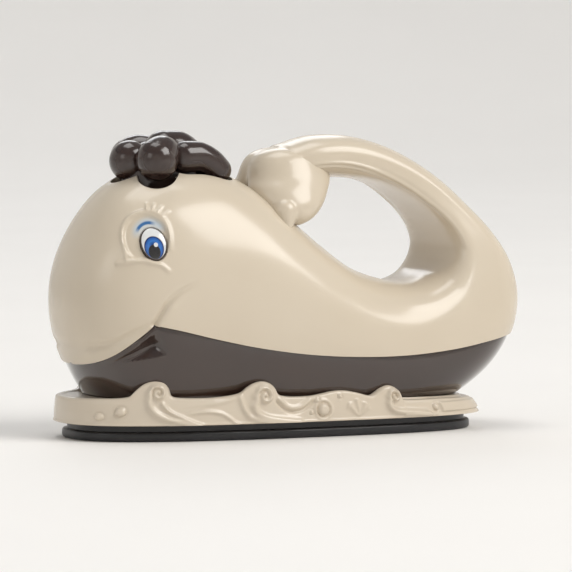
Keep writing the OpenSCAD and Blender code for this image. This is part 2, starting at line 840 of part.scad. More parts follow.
// The tuft's inside: its rim's height, its ceiling and the seat of the spring and the plunger
tuft_rim_share = 0.4;
tuft_ceiling_share = 0.36;
tuft_seat_share = 0.16;
tuft_seat = tuft_base + tuft_seat_share * tuft_h;
plunger_socket = 8;
module tuft() {
    ceiling = tuft_base + tuft_ceiling_share * tuft_h;
    color(brown) difference() {
        union() {
            difference() {
                union() {
                    for (s = curl_shares)
                        translate([tuft_x + s[0] * tuft_l, s[1] * tuft_w, tuft_base + s[2] * tuft_h])
                            sphere(s[3] * tuft_h);
                    translate([0, 0, tuft_base]) tuft_plan(tuft_rim_share * tuft_h, -fit_gap, $fn);
                }
                translate([0, 0, tuft_base - overrun])
                    tuft_plan(ceiling - tuft_base + overrun, -fit_gap - tuft_wall, $fn);
            }
            translate([tuft_x, 0, tuft_seat])
                cylinder(h = ceiling - tuft_seat + overrun, r = plunger_d / 2 + tuft_wall);
        }
        translate([tuft_x, 0, tuft_seat - overrun])
            cylinder(h = plunger_socket + overrun, r = plunger_d / 2 + slide_gap);
        translate([tuft_x, 0, tuft_base - overrun])
            cylinder(h = tuft_seat - tuft_base + overrun, r = spring_r + return_wire + run_gap);
    }
}

eye_dome_share = 1.1;
module eye(side) {
    dome = eye_dome_share * eye_h;
    color("white") at_eye(side)
        intersection() {
            translate([0, 0, -eye_t]) linear_extrude(eye_h) eye_plan(0);
            translate([0, 0, eye_t - dome]) sphere(dome);
        }
}
module eye_left() {
    eye(-1);
}
module eye_right() {
    eye(1);
}

module battery_door() {
    color(black) difference() {
        union() {
            translate([0, 0, door_sink]) door_plan(door_t, 0);
            door_tabs(0);
        }
        translate([ear_x, 0, 0]) cylinder(h = sole_t, r = screw_r + screw_gap);
        translate([ear_x, 0, -overrun]) cylinder(h = overrun + door_sink + head_h, r = head_r + screw_gap);
    }
}
module door_screw() {
    color(steel) translate([ear_x, 0, door_sink + head_h]) rotate([180, 0, 0]) screw(sole_screw_l);
}
module sole_screws() {
    color(steel)
        for (p = sole_screw_places)
            translate([p[0], p[1], door_sink + head_h]) rotate([180, 0, 0]) screw(sole_screw_l);
}

nub_r_share = 0.19;
nub_h = 1;
cell_rim = 0.5;
// A cell along X with its nub towards +X
module cell() {
    rotate([0, 90, 0]) {
        translate([0, 0, -cell_l / 2]) cylinder(h = cell_l - nub_h, r = cell_d / 2);
        translate([0, 0, cell_l / 2 - nub_h - cell_rim])
            cylinder(h = nub_h + cell_rim, r = nub_r_share * cell_d);
    }
}
module battery_left() {
    color([0.75, 0.55, 0.2]) translate([0, -cell_y, cell_z]) cell();
}
module battery_right() {
    color([0.75, 0.55, 0.2]) translate([0, cell_y, cell_z]) rotate(180) cell();
}

spring_wire = 0.7;
spring_sides = 6;
// A coil about Z from z = 0 to its height, measured over the wire, with radii at its foot and head
module coil(foot_r, top_r, height, turns, wire, steps) {
    lofted([
        for (i = [0 : turns * steps])
            let (
                t = i / (turns * steps),
                r = foot_r + (top_r - foot_r) * t,
                z = wire / 2 + (height - wire) * t
            )
            [
                for (k = [0 : spring_sides - 1])
                    let (
                        a = 360 * i / steps,
                        turn = 360 * k / spring_sides,
                        out = r + wire / 2 * cos(turn)
                    )
                    [out * cos(a), out * sin(a), z + wire / 2 * sin(turn)]
            ]
    ]);
}
// Contacts: the spring's radius at its foot and top, and the plates' radii, against the cell
spring_foot_share = 0.36;
spring_top_share = 0.22;
spring_plate_share = 0.45;
plate_share = 0.4;
spring_turns = 2.5;
spring_steps = 8;
module battery_springs() {
    spring_h = contact_room - contact_t;
    color(steel)
        for (end = [-1, 1])
            translate([end * (box_half_l - contact_t), end * cell_y, cell_z])
                rotate([0, -end * 90, 0]) {
                    coil(
                        spring_foot_share * cell_d, spring_top_share * cell_d, spring_h,
                        spring_turns, spring_wire, spring_steps
                    );
                    translate([0, 0, -contact_t])
                        cylinder(h = contact_t + spring_wire / 3, r = spring_plate_share * cell_d);
                }
}
module battery_plates() {
    color(steel)
        for (end = [-1, 1])
            translate([end * box_half_l, -end * cell_y, cell_z])
                rotate([0, -end * 90, 0]) {
                    cylinder(h = contact_t, r = plate_share * cell_d);
                    cylinder(h = contact_room, r = nub_r_share * cell_d);
                }
}

module speaker_frame() {
    r = speaker_d / 2;
    magnet_r = magnet_r_share * speaker_d;
    color(steel) translate([speaker_x, 0, floor_top])
        rotate_extrude()
            polygon([
                [r - speaker_rim_w, 0], [r, 0], [r, speaker_rim_t], [r - speaker_rim_w / 2, speaker_rim_t],
                [magnet_r + speaker_skin, speaker_h], [0, speaker_h], [0, speaker_h - speaker_skin],
                [magnet_r, speaker_h - speaker_skin], [r - speaker_rim_w, speaker_rim_t],
            ]);
}
module speaker_cone() {
    r = speaker_d / 2 - speaker_rim_w - slide_gap;
    neck_r = magnet_r_share * speaker_d;
    color([0.1, 0.1, 0.1]) translate([speaker_x, 0, floor_top])
        rotate_extrude()
            polygon([
                [r, 0], [r, speaker_skin / 2], [neck_r, speaker_h - 2 * speaker_skin],
                [0, speaker_h - 3 * speaker_skin], [0, speaker_h - 4 * speaker_skin],
                [neck_r - speaker_skin, speaker_h - 3 * speaker_skin], [r - speaker_skin, 0],
            ]);
}
module speaker_magnet() {
    color(steel) translate([speaker_x, 0, floor_top + speaker_h])
        cylinder(h = magnet_h, r = magnet_r_share * speaker_d);
}

module circuit_board() {
    l = 2 * (box_half_l + box_wall - board_inset + standoff_r / 2);
    w = 2 * (box_half_w + box_wall - board_inset + standoff_r / 2);
    color(board_green) difference() {
        translate([0, 0, board_z]) rounded_box([l, w, board_t], box_corner_r);
        for (p = standoff_places)
            translate([p[0], p[1], board_z - overrun])
                cylinder(h = board_t + 2 * overrun, r = screw_r + screw_gap);
    }
}
module board_screws() {
    color(steel)
        for (p = standoff_places)
            translate([p[0], p[1], board_z + board_t]) screw(board_t + board_screw_l - overrun);
}
chip_l = 12;
chip_w = 9;
chip_h = 2.4;
module sound_chip() {
    color(black) translate([-box_half_l / 3, 0, board_z + board_t])
        rounded_box([chip_l, chip_w, chip_h], box_corner_r);
}

leg_r = 2.6;
leg_h = 8.4;
switch_board_w = 14;
cup_t = 1;
cup_h = 1;
spring_room = 1.3;
spring_r = plunger_d / 2 + spring_room;
return_wire = 0.8;
return_turns = 4;
return_steps = 8;
leg_places = [for (x = [-1, 1]) tuft_x + x * (guide_l / 2 - leg_r)];
module button_guide() {
    cup_r = spring_r + return_wire / 2 + fit_gap;
    color(cream) difference() {
        union() {
            translate([tuft_x, 0, guide_bottom]) rounded_box([guide_l, guide_w, guide_t], guide_corner_r);
            translate([tuft_x, 0, guide_top])
                difference() {
                    cylinder(h = cup_h, r = cup_r + cup_t);
                    cylinder(h = cup_h + overrun, r = cup_r);
                }
            for (x = leg_places)
                translate([x, 0, guide_bottom - leg_h]) cylinder(h = leg_h + guide_t / 2, r = leg_r);
        }
        translate([tuft_x, 0, guide_bottom - overrun])
            cylinder(h = guide_t + 2 * overrun, r = plunger_d / 2 + slide_gap);
        for (p = guide_places)
            translate([p[0], p[1], guide_bottom - overrun])
                cylinder(h = guide_t + 2 * overrun, r = screw_r + screw_gap);
        for (x = leg_places)
            translate([x, 0, guide_bottom - leg_h - overrun])
                cylinder(h = board_screw_l + overrun, r = screw_r + slide_gap);
    }
}
module guide_screws() {
    color(steel)
        for (p = guide_places)
            translate([p[0], p[1], guide_top]) screw(guide_t + guide_screw_l - overrun);
}
module button_plunger() {
    top = tuft_seat + plunger_socket;
    color(cream) difference() {
        translate([tuft_x, 0, plunger_bottom]) cylinder(h = top - plunger_bottom, r = plunger_d / 2);
        translate([tuft_x, 0, plunger_bottom - overrun])
            cylinder(h = guide_screw_l + overrun, r = screw_r + slide_gap);
    }
}
module plunger_screw() {
    color(steel) translate([tuft_x, 0, plunger_bottom]) {
        translate([0, 0, -stop_h]) cylinder(h = stop_h, r = stop_r);
        translate([0, 0, -stop_h / 2]) cylinder(h = guide_screw_l, r = screw_r);
    }
}
module return_spring() {
    color(steel) translate([tuft_x, 0, guide_top])
        coil(spring_r, spring_r, tuft_seat - guide_top, return_turns, return_wire, return_steps);
}

switch_board_z = guide_bottom - leg_h - board_t;
press_gap = 0.4;
button_top = stop_bottom - press_travel - press_gap;
tact_w = 6;
tact_cap_r = 1.7;
tact_cap_h = 0.5;
module switch_board() {
    color(board_green) difference() {
        translate([tuft_x, 0, switch_board_z]) rounded_box([guide_l, switch_board_w, board_t], box_corner_r);
        for (x = leg_places)
            translate([x, 0, switch_board_z - overrun])
                cylinder(h = board_t + 2 * overrun, r = screw_r + screw_gap);
    }
}
module switch_board_screws() {
    color(steel)
        for (x = leg_places)
            translate([x, 0, switch_board_z]) rotate([180, 0, 0]) screw(board_t + board_screw_l - overrun);
}
module button_switch() {
    foot = switch_board_z + board_t;
    color(black) translate([tuft_x, 0, foot]) {
        rounded_box([tact_w, tact_w, button_top - tact_cap_h - foot], box_corner_r / 2);
        cylinder(h = button_top - foot, r = tact_cap_r);
    }
}

module power_switch() {
    wall = (switch_w - knob_stem_w) / 2 - run_gap;
    color(steel) translate([switch_x, switch_y, base_top])
        difference() {
            translate([-switch_w / 2, -switch_l / 2, 0]) cube([switch_w, switch_l, switch_h]);
            translate([-switch_w / 2 + wall, -(knob_stem_l + switch_travel) / 2 - run_gap, -overrun])
                cube([
                    switch_w - 2 * wall,
                    knob_stem_l + switch_travel + 2 * run_gap,
                    switch_h - wall + overrun,
                ]);
        }
}
module switch_knob() {
    wall = (switch_w - knob_stem_w) / 2 - run_gap;
    top = base_top + switch_h - wall - run_gap;
    color(black) translate([switch_x, switch_y - switch_travel / 2, 0]) {
        translate([-knob_w / 2, -knob_l / 2, knob_sink]) cube([knob_w, knob_l, knob_t]);
        translate([-knob_stem_w / 2, -knob_stem_l / 2, knob_sink])
            cube([knob_stem_w, knob_stem_l, top - knob_sink]);
    }
}

sole();
trim();
skirt();
body_left();
body_right();
tuft();
eye_left();
eye_right();
battery_door();
door_screw();
sole_screws();
body_screws();
battery_left();
battery_right();
battery_springs();
battery_plates();
speaker_frame();
speaker_cone();
speaker_magnet();
circuit_board();
board_screws();
sound_chip();
button_guide();
guide_screws();
button_plunger();
plunger_screw();
return_spring();
switch_board();
switch_board_screws();
button_switch();
power_switch();
switch_knob();
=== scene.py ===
import math

import bpy
import numpy as np
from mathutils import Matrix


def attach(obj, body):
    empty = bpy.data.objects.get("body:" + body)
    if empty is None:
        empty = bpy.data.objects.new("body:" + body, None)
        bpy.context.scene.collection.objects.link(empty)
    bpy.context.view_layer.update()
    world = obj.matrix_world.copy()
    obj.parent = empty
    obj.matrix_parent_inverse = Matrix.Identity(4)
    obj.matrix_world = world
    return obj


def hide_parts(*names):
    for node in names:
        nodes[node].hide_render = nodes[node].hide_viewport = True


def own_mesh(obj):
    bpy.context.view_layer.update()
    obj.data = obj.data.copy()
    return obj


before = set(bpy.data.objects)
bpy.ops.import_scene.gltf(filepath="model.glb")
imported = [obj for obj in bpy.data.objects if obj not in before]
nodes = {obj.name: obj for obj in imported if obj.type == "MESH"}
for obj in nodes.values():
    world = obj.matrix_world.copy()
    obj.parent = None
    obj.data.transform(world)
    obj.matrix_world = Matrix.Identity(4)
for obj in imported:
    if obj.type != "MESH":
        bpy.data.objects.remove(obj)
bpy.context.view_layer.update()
mm = 0.001

# Sole plate: a black moulded base with a thin rounded plate, a set-back neck above it and the
# battery box standing on its inside. The plate is swept round the base's oval outline, and the
# door's recess, the sound holes, the switch slot and the screw seats are cut into its underside.

# Sizes are in millimetres from here on, and turn into metres where a mesh gets its corners
trim_l, trim_w = 145, 64
base_front, base_top = -79.7, 5.2
base_x = base_front + 0.508 * trim_l
front_roundness, rear_roundness = 2.6, 3.2
box_half_l, box_half_w, box_wall, box_top = 25.65, 11.5, 1.8, 15.2
door_ceiling = 2.5
ear_x, ear_r, ear_root, ear_gap = -31.05, 3.6, -20, 0.2
switch_y, speaker_x = 10.6, -47.95
boss_r, screw_r, head_sink = 2.7, 1.25, 2.7
# How far a cut runs past what it cuts, and the level under the sole at which cuts from below start
overrun = 1
clear_below = -overrun
sole_screw_places = [(-39.25, -16), (-39.25, 16), (40.25, -7.04), (40.25, 7.04)]


def signed_power(value, power):
    return np.sign(value) * np.abs(value) ** power


def base_outline(turns, side_in=0, rear_in=0):
    """Points of the base's oval at these turns, a step inside its sides and its rear."""
    c = np.cos(turns)
    power = 2 / np.where(c > 0, rear_roundness, front_roundness)
    reach = np.where(c > 0, base_front + trim_l - base_x - rear_in, base_x - base_front - side_in)
    across = (trim_w / 2 - side_in) * signed_power(np.sin(turns), power)
    return base_x + reach * signed_power(c, power), across


def even_turns(count):
    """Turns that step evenly along the base's outline."""
    turns = np.linspace(0, 2 * np.pi, 8001)
    x, y = base_outline(turns)
    walked = np.concatenate([[0], np.cumsum(np.hypot(np.diff(x), np.diff(y)))])
    return np.interp(np.linspace(0, walked[-1], count), walked, turns)


def row_of(table, share):
    """The row of a table that lies at a share of its length."""
    return table[np.round(share * (len(table) - 1)).astype(int)]


def field_of(items, field, width=3):
    """One field of a mesh's vertices, faces or corners, with a row for each."""
    values = np.empty(width * len(items), np.float32)
    items.foreach_get(field, values)
    return values.reshape(-1, width).astype(float)


def put_vertices(piece, p):
    piece.data.vertices.foreach_set("co", (p * mm).astype(np.float32).ravel())
    piece.data.update()


def lay(piece, place):
    """Lays each corner of a grid where place says, from its own UV."""
    mesh = piece.data
    corner = np.empty(len(mesh.loops), np.int32)
    mesh.loops.foreach_get("vertex_index", corner)
    at = np.zeros((len(mesh.vertices), 2))
    at[corner] = field_of(mesh.uv_layers[0].data, "uv", 2)
    put_vertices(piece, place(at[:, 0], at[:, 1]))


def primitive(name, operator, **sizes):
    """A new primitive under its own name, with its place in its mesh."""
    bpy.ops.object.select_all(action="DESELECT")
    operator(**sizes)
    piece = bpy.context.object
    piece.name = piece.data.name = name
    bpy.ops.object.transform_apply(location=True, rotation=True, scale=True)
    return piece


def laid(name, columns, rows, place):
    """A grid of quads laid on a form."""
    grid = bpy.ops.mesh.primitive_grid_add
    piece = primitive(name, grid, x_subdivisions=columns, y_subdivisions=rows, size=1)
    layer = piece.data.uv_layers[0].data
    even = np.round(field_of(layer, "uv", 2) * [columns, rows]) / [columns, rows]
    layer.foreach_set("uv", even.astype(np.float32).ravel())
    lay(piece, place)
    return piece


def alone(piece):
    """Selects one piece and makes it the active one."""
    bpy.ops.object.select_all(action="DESELECT")
    bpy.context.view_layer.objects.active = piece
    piece.select_set(True)


def edited(piece, operator, **settings):
    """Runs an edit-mode operator on the whole of a piece."""
    alone(piece)
    bpy.ops.object.mode_set(mode="EDIT")
    bpy.ops.mesh.select_all(action="SELECT")
    operator(**settings)
    bpy.ops.object.mode_set(mode="OBJECT")
    return piece


def edited_part(piece, kind, chosen, operator, **settings):
    """Runs an edit-mode operator on the chosen edges or faces of a piece."""
    alone(piece)
    bpy.ops.object.mode_set(mode="EDIT")
    bpy.ops.mesh.select_mode(type=kind)
    bpy.ops.mesh.select_all(action="DESELECT")
    bpy.ops.object.mode_set(mode="OBJECT")
    items = piece.data.edges if kind == "EDGE" else piece.data.polygons
    items.foreach_set("select", chosen)
    bpy.ops.object.mode_set(mode="EDIT")
    operator(**settings)
    bpy.ops.mesh.select_mode(type="VERT")
    bpy.ops.object.mode_set(mode="OBJECT")
    return piece


def merged(piece, distance=0.01):
    return edited(piece, bpy.ops.mesh.remove_doubles, threshold=distance * mm)


def closed(piece):
    """Merges seams and poles, fills what is open and turns the faces outwards."""
    edited(merged(piece, 0.002), bpy.ops.mesh.fill_holes, sides=0)
    return edited(piece, bpy.ops.mesh.normals_make_consistent, inside=False)


def rod(at, r, height, sides=32, axis="Z", top_r=None):
    """A cylinder or cone that stands on a place."""
    quarter = math.pi / 2
    turn = {"X": (0, quarter, 0), "Y": (-quarter, 0, 0), "Z": (0, 0, 0)}[axis]
    middle = [a + height / 2 * (way == axis) for a, way in zip(at, "XYZ")]
    return primitive(
        "rod", bpy.ops.mesh.primitive_cone_add, vertices=sides, radius1=r * mm, radius2=(top_r or r) * mm,
        depth=height * mm, location=[m * mm for m in middle], rotation=turn,
    )


def block(low, high):
    """A box between two corners."""
    middle = [(a + b) / 2 * mm for a, b in zip(low, high)]
    size = [(b - a) * mm for a, b in zip(low, high)]
    return primitive("block", bpy.ops.mesh.primitive_cube_add, size=1, location=middle, scale=size)


def rounded_block(low, high, r, segments=4):
    """A box with its upright edges rounded."""
    piece = block(low, high)
    ends = [[piece.data.vertices[i].co for i in edge.vertices] for edge in piece.data.edges]
    upright = [abs(a.z - b.z) > max(abs(a.x - b.x), abs(a.y - b.y)) for a, b in ends]
    return edited_part(piece, "EDGE", upright, bpy.ops.mesh.bevel, offset=r * mm, segments=segments)


def applied(piece, kind, **settings):
    """Gives a piece a modifier and applies it."""
    step = piece.modifiers.new(kind, kind)
    for key, value in settings.items():
        setattr(step, key, value)
    alone(piece)
    bpy.ops.object.modifier_apply(modifier=step.name)
    return piece


def join(piece, *tools, how="UNION"):
    """Joins tools to a piece, or cuts the piece with them, and puts them away."""
    for tool in tools:
        applied(piece, "BOOLEAN", operation=how, solver="MANIFOLD", object=tool)
        bpy.data.objects.remove(tool, do_unlink=True)
    return piece


def cut(piece, *tools):
    return join(piece, *tools, how="DIFFERENCE")


def smooth(piece, degrees):
    alone(piece)
    bpy.ops.object.shade_smooth_by_angle(angle=math.radians(degrees))
    return piece


def fed(node, inputs):
    """Sets a node's inputs: each takes a value, or a link from the output that is given for it."""
    for key, value in inputs.items():
        if isinstance(value, bpy.types.NodeSocket):
            node.id_data.links.new(value, node.inputs[key])
        else:
            node.inputs[key].default_value = value
    return node


def added(tree, kind, inputs=(), **settings):
    """A new shader node with its settings and inputs."""
    node = tree.nodes.new("ShaderNode" + kind)
    for key, value in settings.items():
        setattr(node, key, value)
    return fed(node, dict(inputs))


def object_place(tree):
    return added(tree, "TexCoord").outputs["Object"]


def noise(tree, scale, detail=2):
    """A cloudy value on the piece's own coordinates."""
    inputs = {"Vector": object_place(tree), "Scale": scale, "Detail": detail}
    return added(tree, "TexNoise", inputs).outputs["Fac"]


def over(tree, base, paint, mask):
    """A paint laid over a colour where a mask says."""
    return added(tree, "Mix", {"Factor": mask, 6: base, 7: paint}, data_type="RGBA").outputs[2]


def maths(tree, operation, *values):
    return added(tree, "Math", dict(enumerate(values)), operation=operation).outputs["Value"]


def moulded_group():
    """Moulded plastic: slow tone changes, a faint flow in the gloss and a fine skin."""
    group = bpy.data.node_groups.new("moulded_skin", "ShaderNodeTree")
    inputs = {"Color": "Color", "Deep": "Color", "Roughness": "Float", "Patch": "Float", "Grain": "Float"}
    outputs = {"Color": "Color", "Roughness": "Float", "Height": "Float"}
    for way, sockets in [("INPUT", inputs), ("OUTPUT", outputs)]:
        for key, kind in sockets.items():
            group.interface.new_socket(key, in_out=way, socket_type="NodeSocket" + kind)
    given = group.nodes.new("NodeGroupInput").outputs
    patch = {"Value": noise(group, given["Patch"], 1), "From Min": 0.15, "From Max": 0.85}
    spread = added(group, "MapRange", patch, interpolation_type="SMOOTHSTEP").outputs["Result"]
    fed(group.nodes.new("NodeGroupOutput"), {
        "Color": over(group, given["Color"], given["Deep"], spread),
        "Roughness": maths(group, "MULTIPLY_ADD", spread, 0.08, given["Roughness"]),
        "Height": noise(group, given["Grain"]),
    })
    return group


moulded_skin = moulded_group()


def srgb(r, g, b):
    """A colour as the eye names it, 0 to 255, as the shader wants it."""
    parts = [v / 255 for v in (r, g, b)]
    return (*(v / 12.92 if v <= 0.04 else ((v + 0.055) / 1.055) ** 2.4 for v in parts), 1.0)


def blank(name):
    """A new material with its node tree and its shader."""
    material = bpy.data.materials.new(name)
    material.use_nodes = True
    return material, material.node_tree, material.node_tree.nodes["Principled BSDF"]


def bumped(tree, height, strength, depth):
    inputs = {"Strength": strength, "Distance": depth * mm, "Height": height}
    return added(tree, "Bump", inputs).outputs["Normal"]


def plastic(name, colour, deep, roughness, patch, grain, bump, coat=0.0):
    """A moulded plastic with a fine skin, under a clear gloss where it has a coat."""
    material, tree, shader = blank(name)
    tones = {"Color": srgb(*colour), "Deep": srgb(*deep)}
    grades = {"Roughness": roughness, "Patch": patch, "Grain": grain}
    skin_of = added(tree, "Group", {**tones, **grades}, node_tree=moulded_skin).outputs
    fed(shader, {
        "Base Color": skin_of["Color"], "Roughness": skin_of["Roughness"],
        "Normal": bumped(tree, skin_of["Height"], bump, 0.2), "Coat Weight": coat, "Coat Roughness": 0.08,
    })
    return material


def coated(piece, material):
    piece.data.materials.clear()
    piece.data.materials.append(material)


def dressed(piece, material, body, slot, *stands_for):
    """Gives a piece its material and its body, and hides the nodes it stands for; the slot is not used."""
    coated(piece, material)
    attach(piece, body)
    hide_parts(*stands_for)
    return piece


def sole_plate():
    # Up the plate's edge and the neck: the step inwards and the level
    steps = np.array([
        (4.4, 0), (3.7, 0.1), (3.35, 0.35), (3.2, 0.8), (3.2, 2.1), (3.3, 2.55), (3.6, 2.88), (4.1, 3.0),
        (4.7, 3.0), (4.8, 3.1), (4.8, 5.1), (4.9, base_top),
    ])
    turns = even_turns(241)

    def place(a, b):
        inset, level = row_of(steps, b).T
        return np.stack([*base_outline(row_of(turns, a), inset, inset), level], axis=1)

    piece = closed(laid("sole_plate", len(turns) - 1, len(steps) - 1, place))
    # The battery box with its corner posts and the boss of the door's screw, then its inside
    reach, side, box_round = box_half_l + box_wall, box_half_w + box_wall, 1.2
    join(piece, rounded_block((-reach, -side, door_ceiling), (reach, side, box_top), box_round))
    plate_top, boss_h = 3, 10.2
    join(piece, rod((ear_x, 0, plate_top), boss_r, boss_h))
    post_x, post_y, post_r, post_h = 25.05, 10.9, 2.4, 4
    for x in (-post_x, post_x):
        for y in (-post_y, post_y):
            join(piece, rod((x, y, box_top - 1), post_r, post_h))
    cut(piece, block((-box_half_l, -box_half_w, clear_below), (box_half_l, box_half_w, box_top - box_wall)))
    # The door's recess with its ear, the screws' seats and the switch's slot
    recess, recess_round = 2, 1.4
    reach, side, ear_side = box_half_l + recess, box_half_w + recess, ear_r + ear_gap
    cut(piece, rounded_block((-reach, -side, clear_below), (reach, side, door_ceiling), recess_round))
    cut(piece, rod((ear_x, 0, clear_below), ear_side, door_ceiling - clear_below, 48))
    cut(piece, block((ear_x, -ear_side, clear_below), (ear_root, ear_side, door_ceiling)))
    thread_r, thread_h = 1.2, 12
    cut(piece, rod((ear_x, 0, 0), thread_r, thread_h))
    through_h, seat_r = 8, 2.5
    for x, y in sole_screw_places:
        at = (x, y, clear_below)
        cut(piece, rod(at, screw_r, through_h), rod(at, seat_r, head_sink, 40))
    for half_l, half_w, low, high in [(1.9, 3.4, clear_below, 2.5), (1.4, 2.7, 0, 6)]:
        cut(piece, block((ear_x - half_l, switch_y - half_w, low), (ear_x + half_l, switch_y + half_w, high)))
    # Sound holes: one in the middle, and rings of six and twelve round it
    hole_r, hole_step = 1, 3.6
    for ring in range(3):
        for k in range(max(6 * ring, 1)):
            turn, off = math.radians(60 * k / max(ring, 1)), ring * hole_step
            at = (speaker_x + off * math.cos(turn), off * math.sin(turn), clear_below)
            cut(piece, rod(at, hole_r, through_h, 20))
    return smooth(piece, 30)


sole_black = plastic(
    "sole_black", (24, 24, 26), (34, 34, 38), roughness=0.29, patch=45.0, grain=3200.0, bump=0.03,
)
dressed(sole_plate(), sole_black, "iron", "sole_black", "sole")

# Underside fittings: the battery door with its grip ribs, the switch knob, and zinc-plated pan-head
# screws. The door slides its tabs under the plate and one screw in its ear holds it.
head_r = 2.45


def bevelled(piece, width):
    """Rounds every sharp edge a little."""
    limit = math.radians(40)
    return applied(piece, "BEVEL", width=width * mm, segments=2, limit_method="ANGLE", angle_limit=limit)


def battery_door():
    edge, corner_r, edge_r, bottom, top = 1.8, 1.2, 0.22, 0.3, 2.3
    reach, side = box_half_l + edge, box_half_w + edge
    piece = rounded_block((-reach, -side, bottom), (reach, side, top), corner_r, 6)
    piece.name = piece.data.name = "battery_cover"
    join(piece, rod((ear_x, 0, bottom), ear_r, top - bottom, 48))
    join(piece, block((ear_x, -ear_r, bottom), (ear_root, ear_r, top)))
    bevelled(piece, edge_r)
    tab_half, tab_bottom, tab_root, tab_tip = 2.5, 1.2, reach - 1, reach + 1.9
    for y in (-box_half_w / 2, box_half_w / 2):
        join(piece, block((tab_root, y - tab_half, tab_bottom), (tab_tip, y + tab_half, top)))
    groove_start, groove_step, groove_half, groove_r, groove_drop = 10.5, 2, 7, 0.7, 0.25
    for k in range(6):
        at = (groove_start + groove_step * k, -groove_half, bottom - groove_drop)
        cut(piece, rod(at, groove_r, 2 * groove_half, 16, "Y"))
    at, through_h = (ear_x, 0, clear_below), 5
    cut(piece, rod(at, screw_r, through_h), rod(at, head_r, head_sink, 40))
    return smooth(piece, 30)


def switch_knob():
    rest_y, half, bottom, top, edge_r = 1.5, 1.5, 0.5, 2.1, 0.25
    x, y = ear_x, switch_y - rest_y
    piece = block((x - half, y - half, bottom), (x + half, y + half, top))
    piece.name = piece.data.name = "switch_slider"
    bevelled(piece, edge_r)
    stem_l, stem_w, stem_low, stem_top = 2, 1.6, 1, 8
    low, high = (x - stem_l / 2, y - stem_w / 2, stem_low), (x + stem_l / 2, y + stem_w / 2, stem_top)
    join(piece, block(low, high))
    groove_l, groove_r, groove_step, groove_level = 4, 0.25, 0.8, 0.42
    for k in (-1, 0, 1):
        cut(piece, rod((x - groove_l / 2, y + groove_step * k, groove_level), groove_r, groove_l, 12, "X"))
    return smooth(piece, 30)


dressed(battery_door(), sole_black, "iron", "sole_black", "battery_door")
dressed(switch_knob(), sole_black, "power_knob", "sole_black", "switch_knob")


def plated(name, colour, deep, roughness, scale):
    """A plated metal with a fine grain and slight stains."""
    material, tree, shader = blank(name)
    stain = noise(tree, scale, 4)
    spread = added(tree, "MapRange", {"Value": stain, "To Min": roughness, "To Max": roughness + 0.2})
    fed(shader, {
        "Metallic": 1, "Base Color": over(tree, srgb(*colour), srgb(*deep), stain),
        "Roughness": spread.outputs["Result"], "Normal": bumped(tree, stain, 0.05, 0.1),
    })
    return material


def coat_nodes(material, *names):
    """Gives a finish to pieces whose solid shape is right as it stands."""
    for name in names:
        coated(nodes[name], material)


zinc_steel = plated("zinc_steel", (196, 197, 200), (150, 151, 156), 0.25, 900.0)
coat_nodes(
    zinc_steel, "door_screw", "sole_screws", "body_screws", "board_screws", "guide_screws", "plunger_screw",
    "switch_board_screws", "battery_springs", "battery_plates", "power_switch", "speaker_frame",
    "speaker_magnet",
)

# Cells, boards and sound parts inside the base: two wrapped cells, a green board with its potted
# chip, and a small speaker with a paper cone. They are bought in and keep their plain shapes.


def ramp(tree, value, stops, interpolation="LINEAR"):
    """A colour or mask that changes with a value, from stops of place and colour."""
    node = added(tree, "ValToRGB", {"Fac": value})
    node.color_ramp.interpolation = interpolation
    elements = node.color_ramp.elements
    while len(elements) < len(stops):
        elements.new(1)
    for k, (at, colour) in enumerate(stops):
        elements[k].position = at
        elements[k].color = colour
    return node.outputs["Color"]


def split(tree, vector):
    return added(tree, "SeparateXYZ", {"Vector": vector}).outputs


def cell_wrap():
    """A printed wrap in bands along the cell, with bare steel ends."""
    half_l, steel = 22.2 * mm, srgb(190, 190, 194)
    material, tree, shader = blank("cell_wrap")
    along = {"Value": split(tree, object_place(tree))["X"], "From Min": -half_l, "From Max": half_l}
    span = added(tree, "MapRange", along).outputs["Result"]
    bands = [(0, steel), (0.02, srgb(46, 46, 50)), (0.30, srgb(186, 140, 70)), (0.98, steel)]
    fed(shader, {"Base Color": ramp(tree, span, bands, "CONSTANT"), "Roughness": 0.35, "Metallic": 0.4})
    return material


coat_nodes(cell_wrap(), "battery_left", "battery_right")
board_green = plastic(
    "board_green", (28, 92, 52), (20, 66, 40), roughness=0.35, patch=300.0, grain=1800.0, bump=0.05,
)
coat_nodes(board_green, "circuit_board", "switch_board")
chip_black = plastic(
    "chip_black", (22, 22, 24), (30, 30, 33), roughness=0.55, patch=400.0, grain=5000.0, bump=0.08,
)
coat_nodes(chip_black, "sound_chip", "button_switch")
cone_paper = plastic(
    "cone_paper", (40, 38, 36), (58, 54, 50), roughness=0.8, patch=500.0, grain=6000.0, bump=0.2,
)
coat_nodes(cone_paper, "speaker_cone")

# Skirt: a glossy dark brown tub that stands on the sole and fills the whale's underside up to the
# mouth and belly line. Its rim is stepped in under the body shells, and a lip inside them centres it.
body_l, body_w, tail_top = 160, 65, 96
skirt_step, skirt_wall, lip_step, lip_h = 0.9, 1.9, 2.5, 4
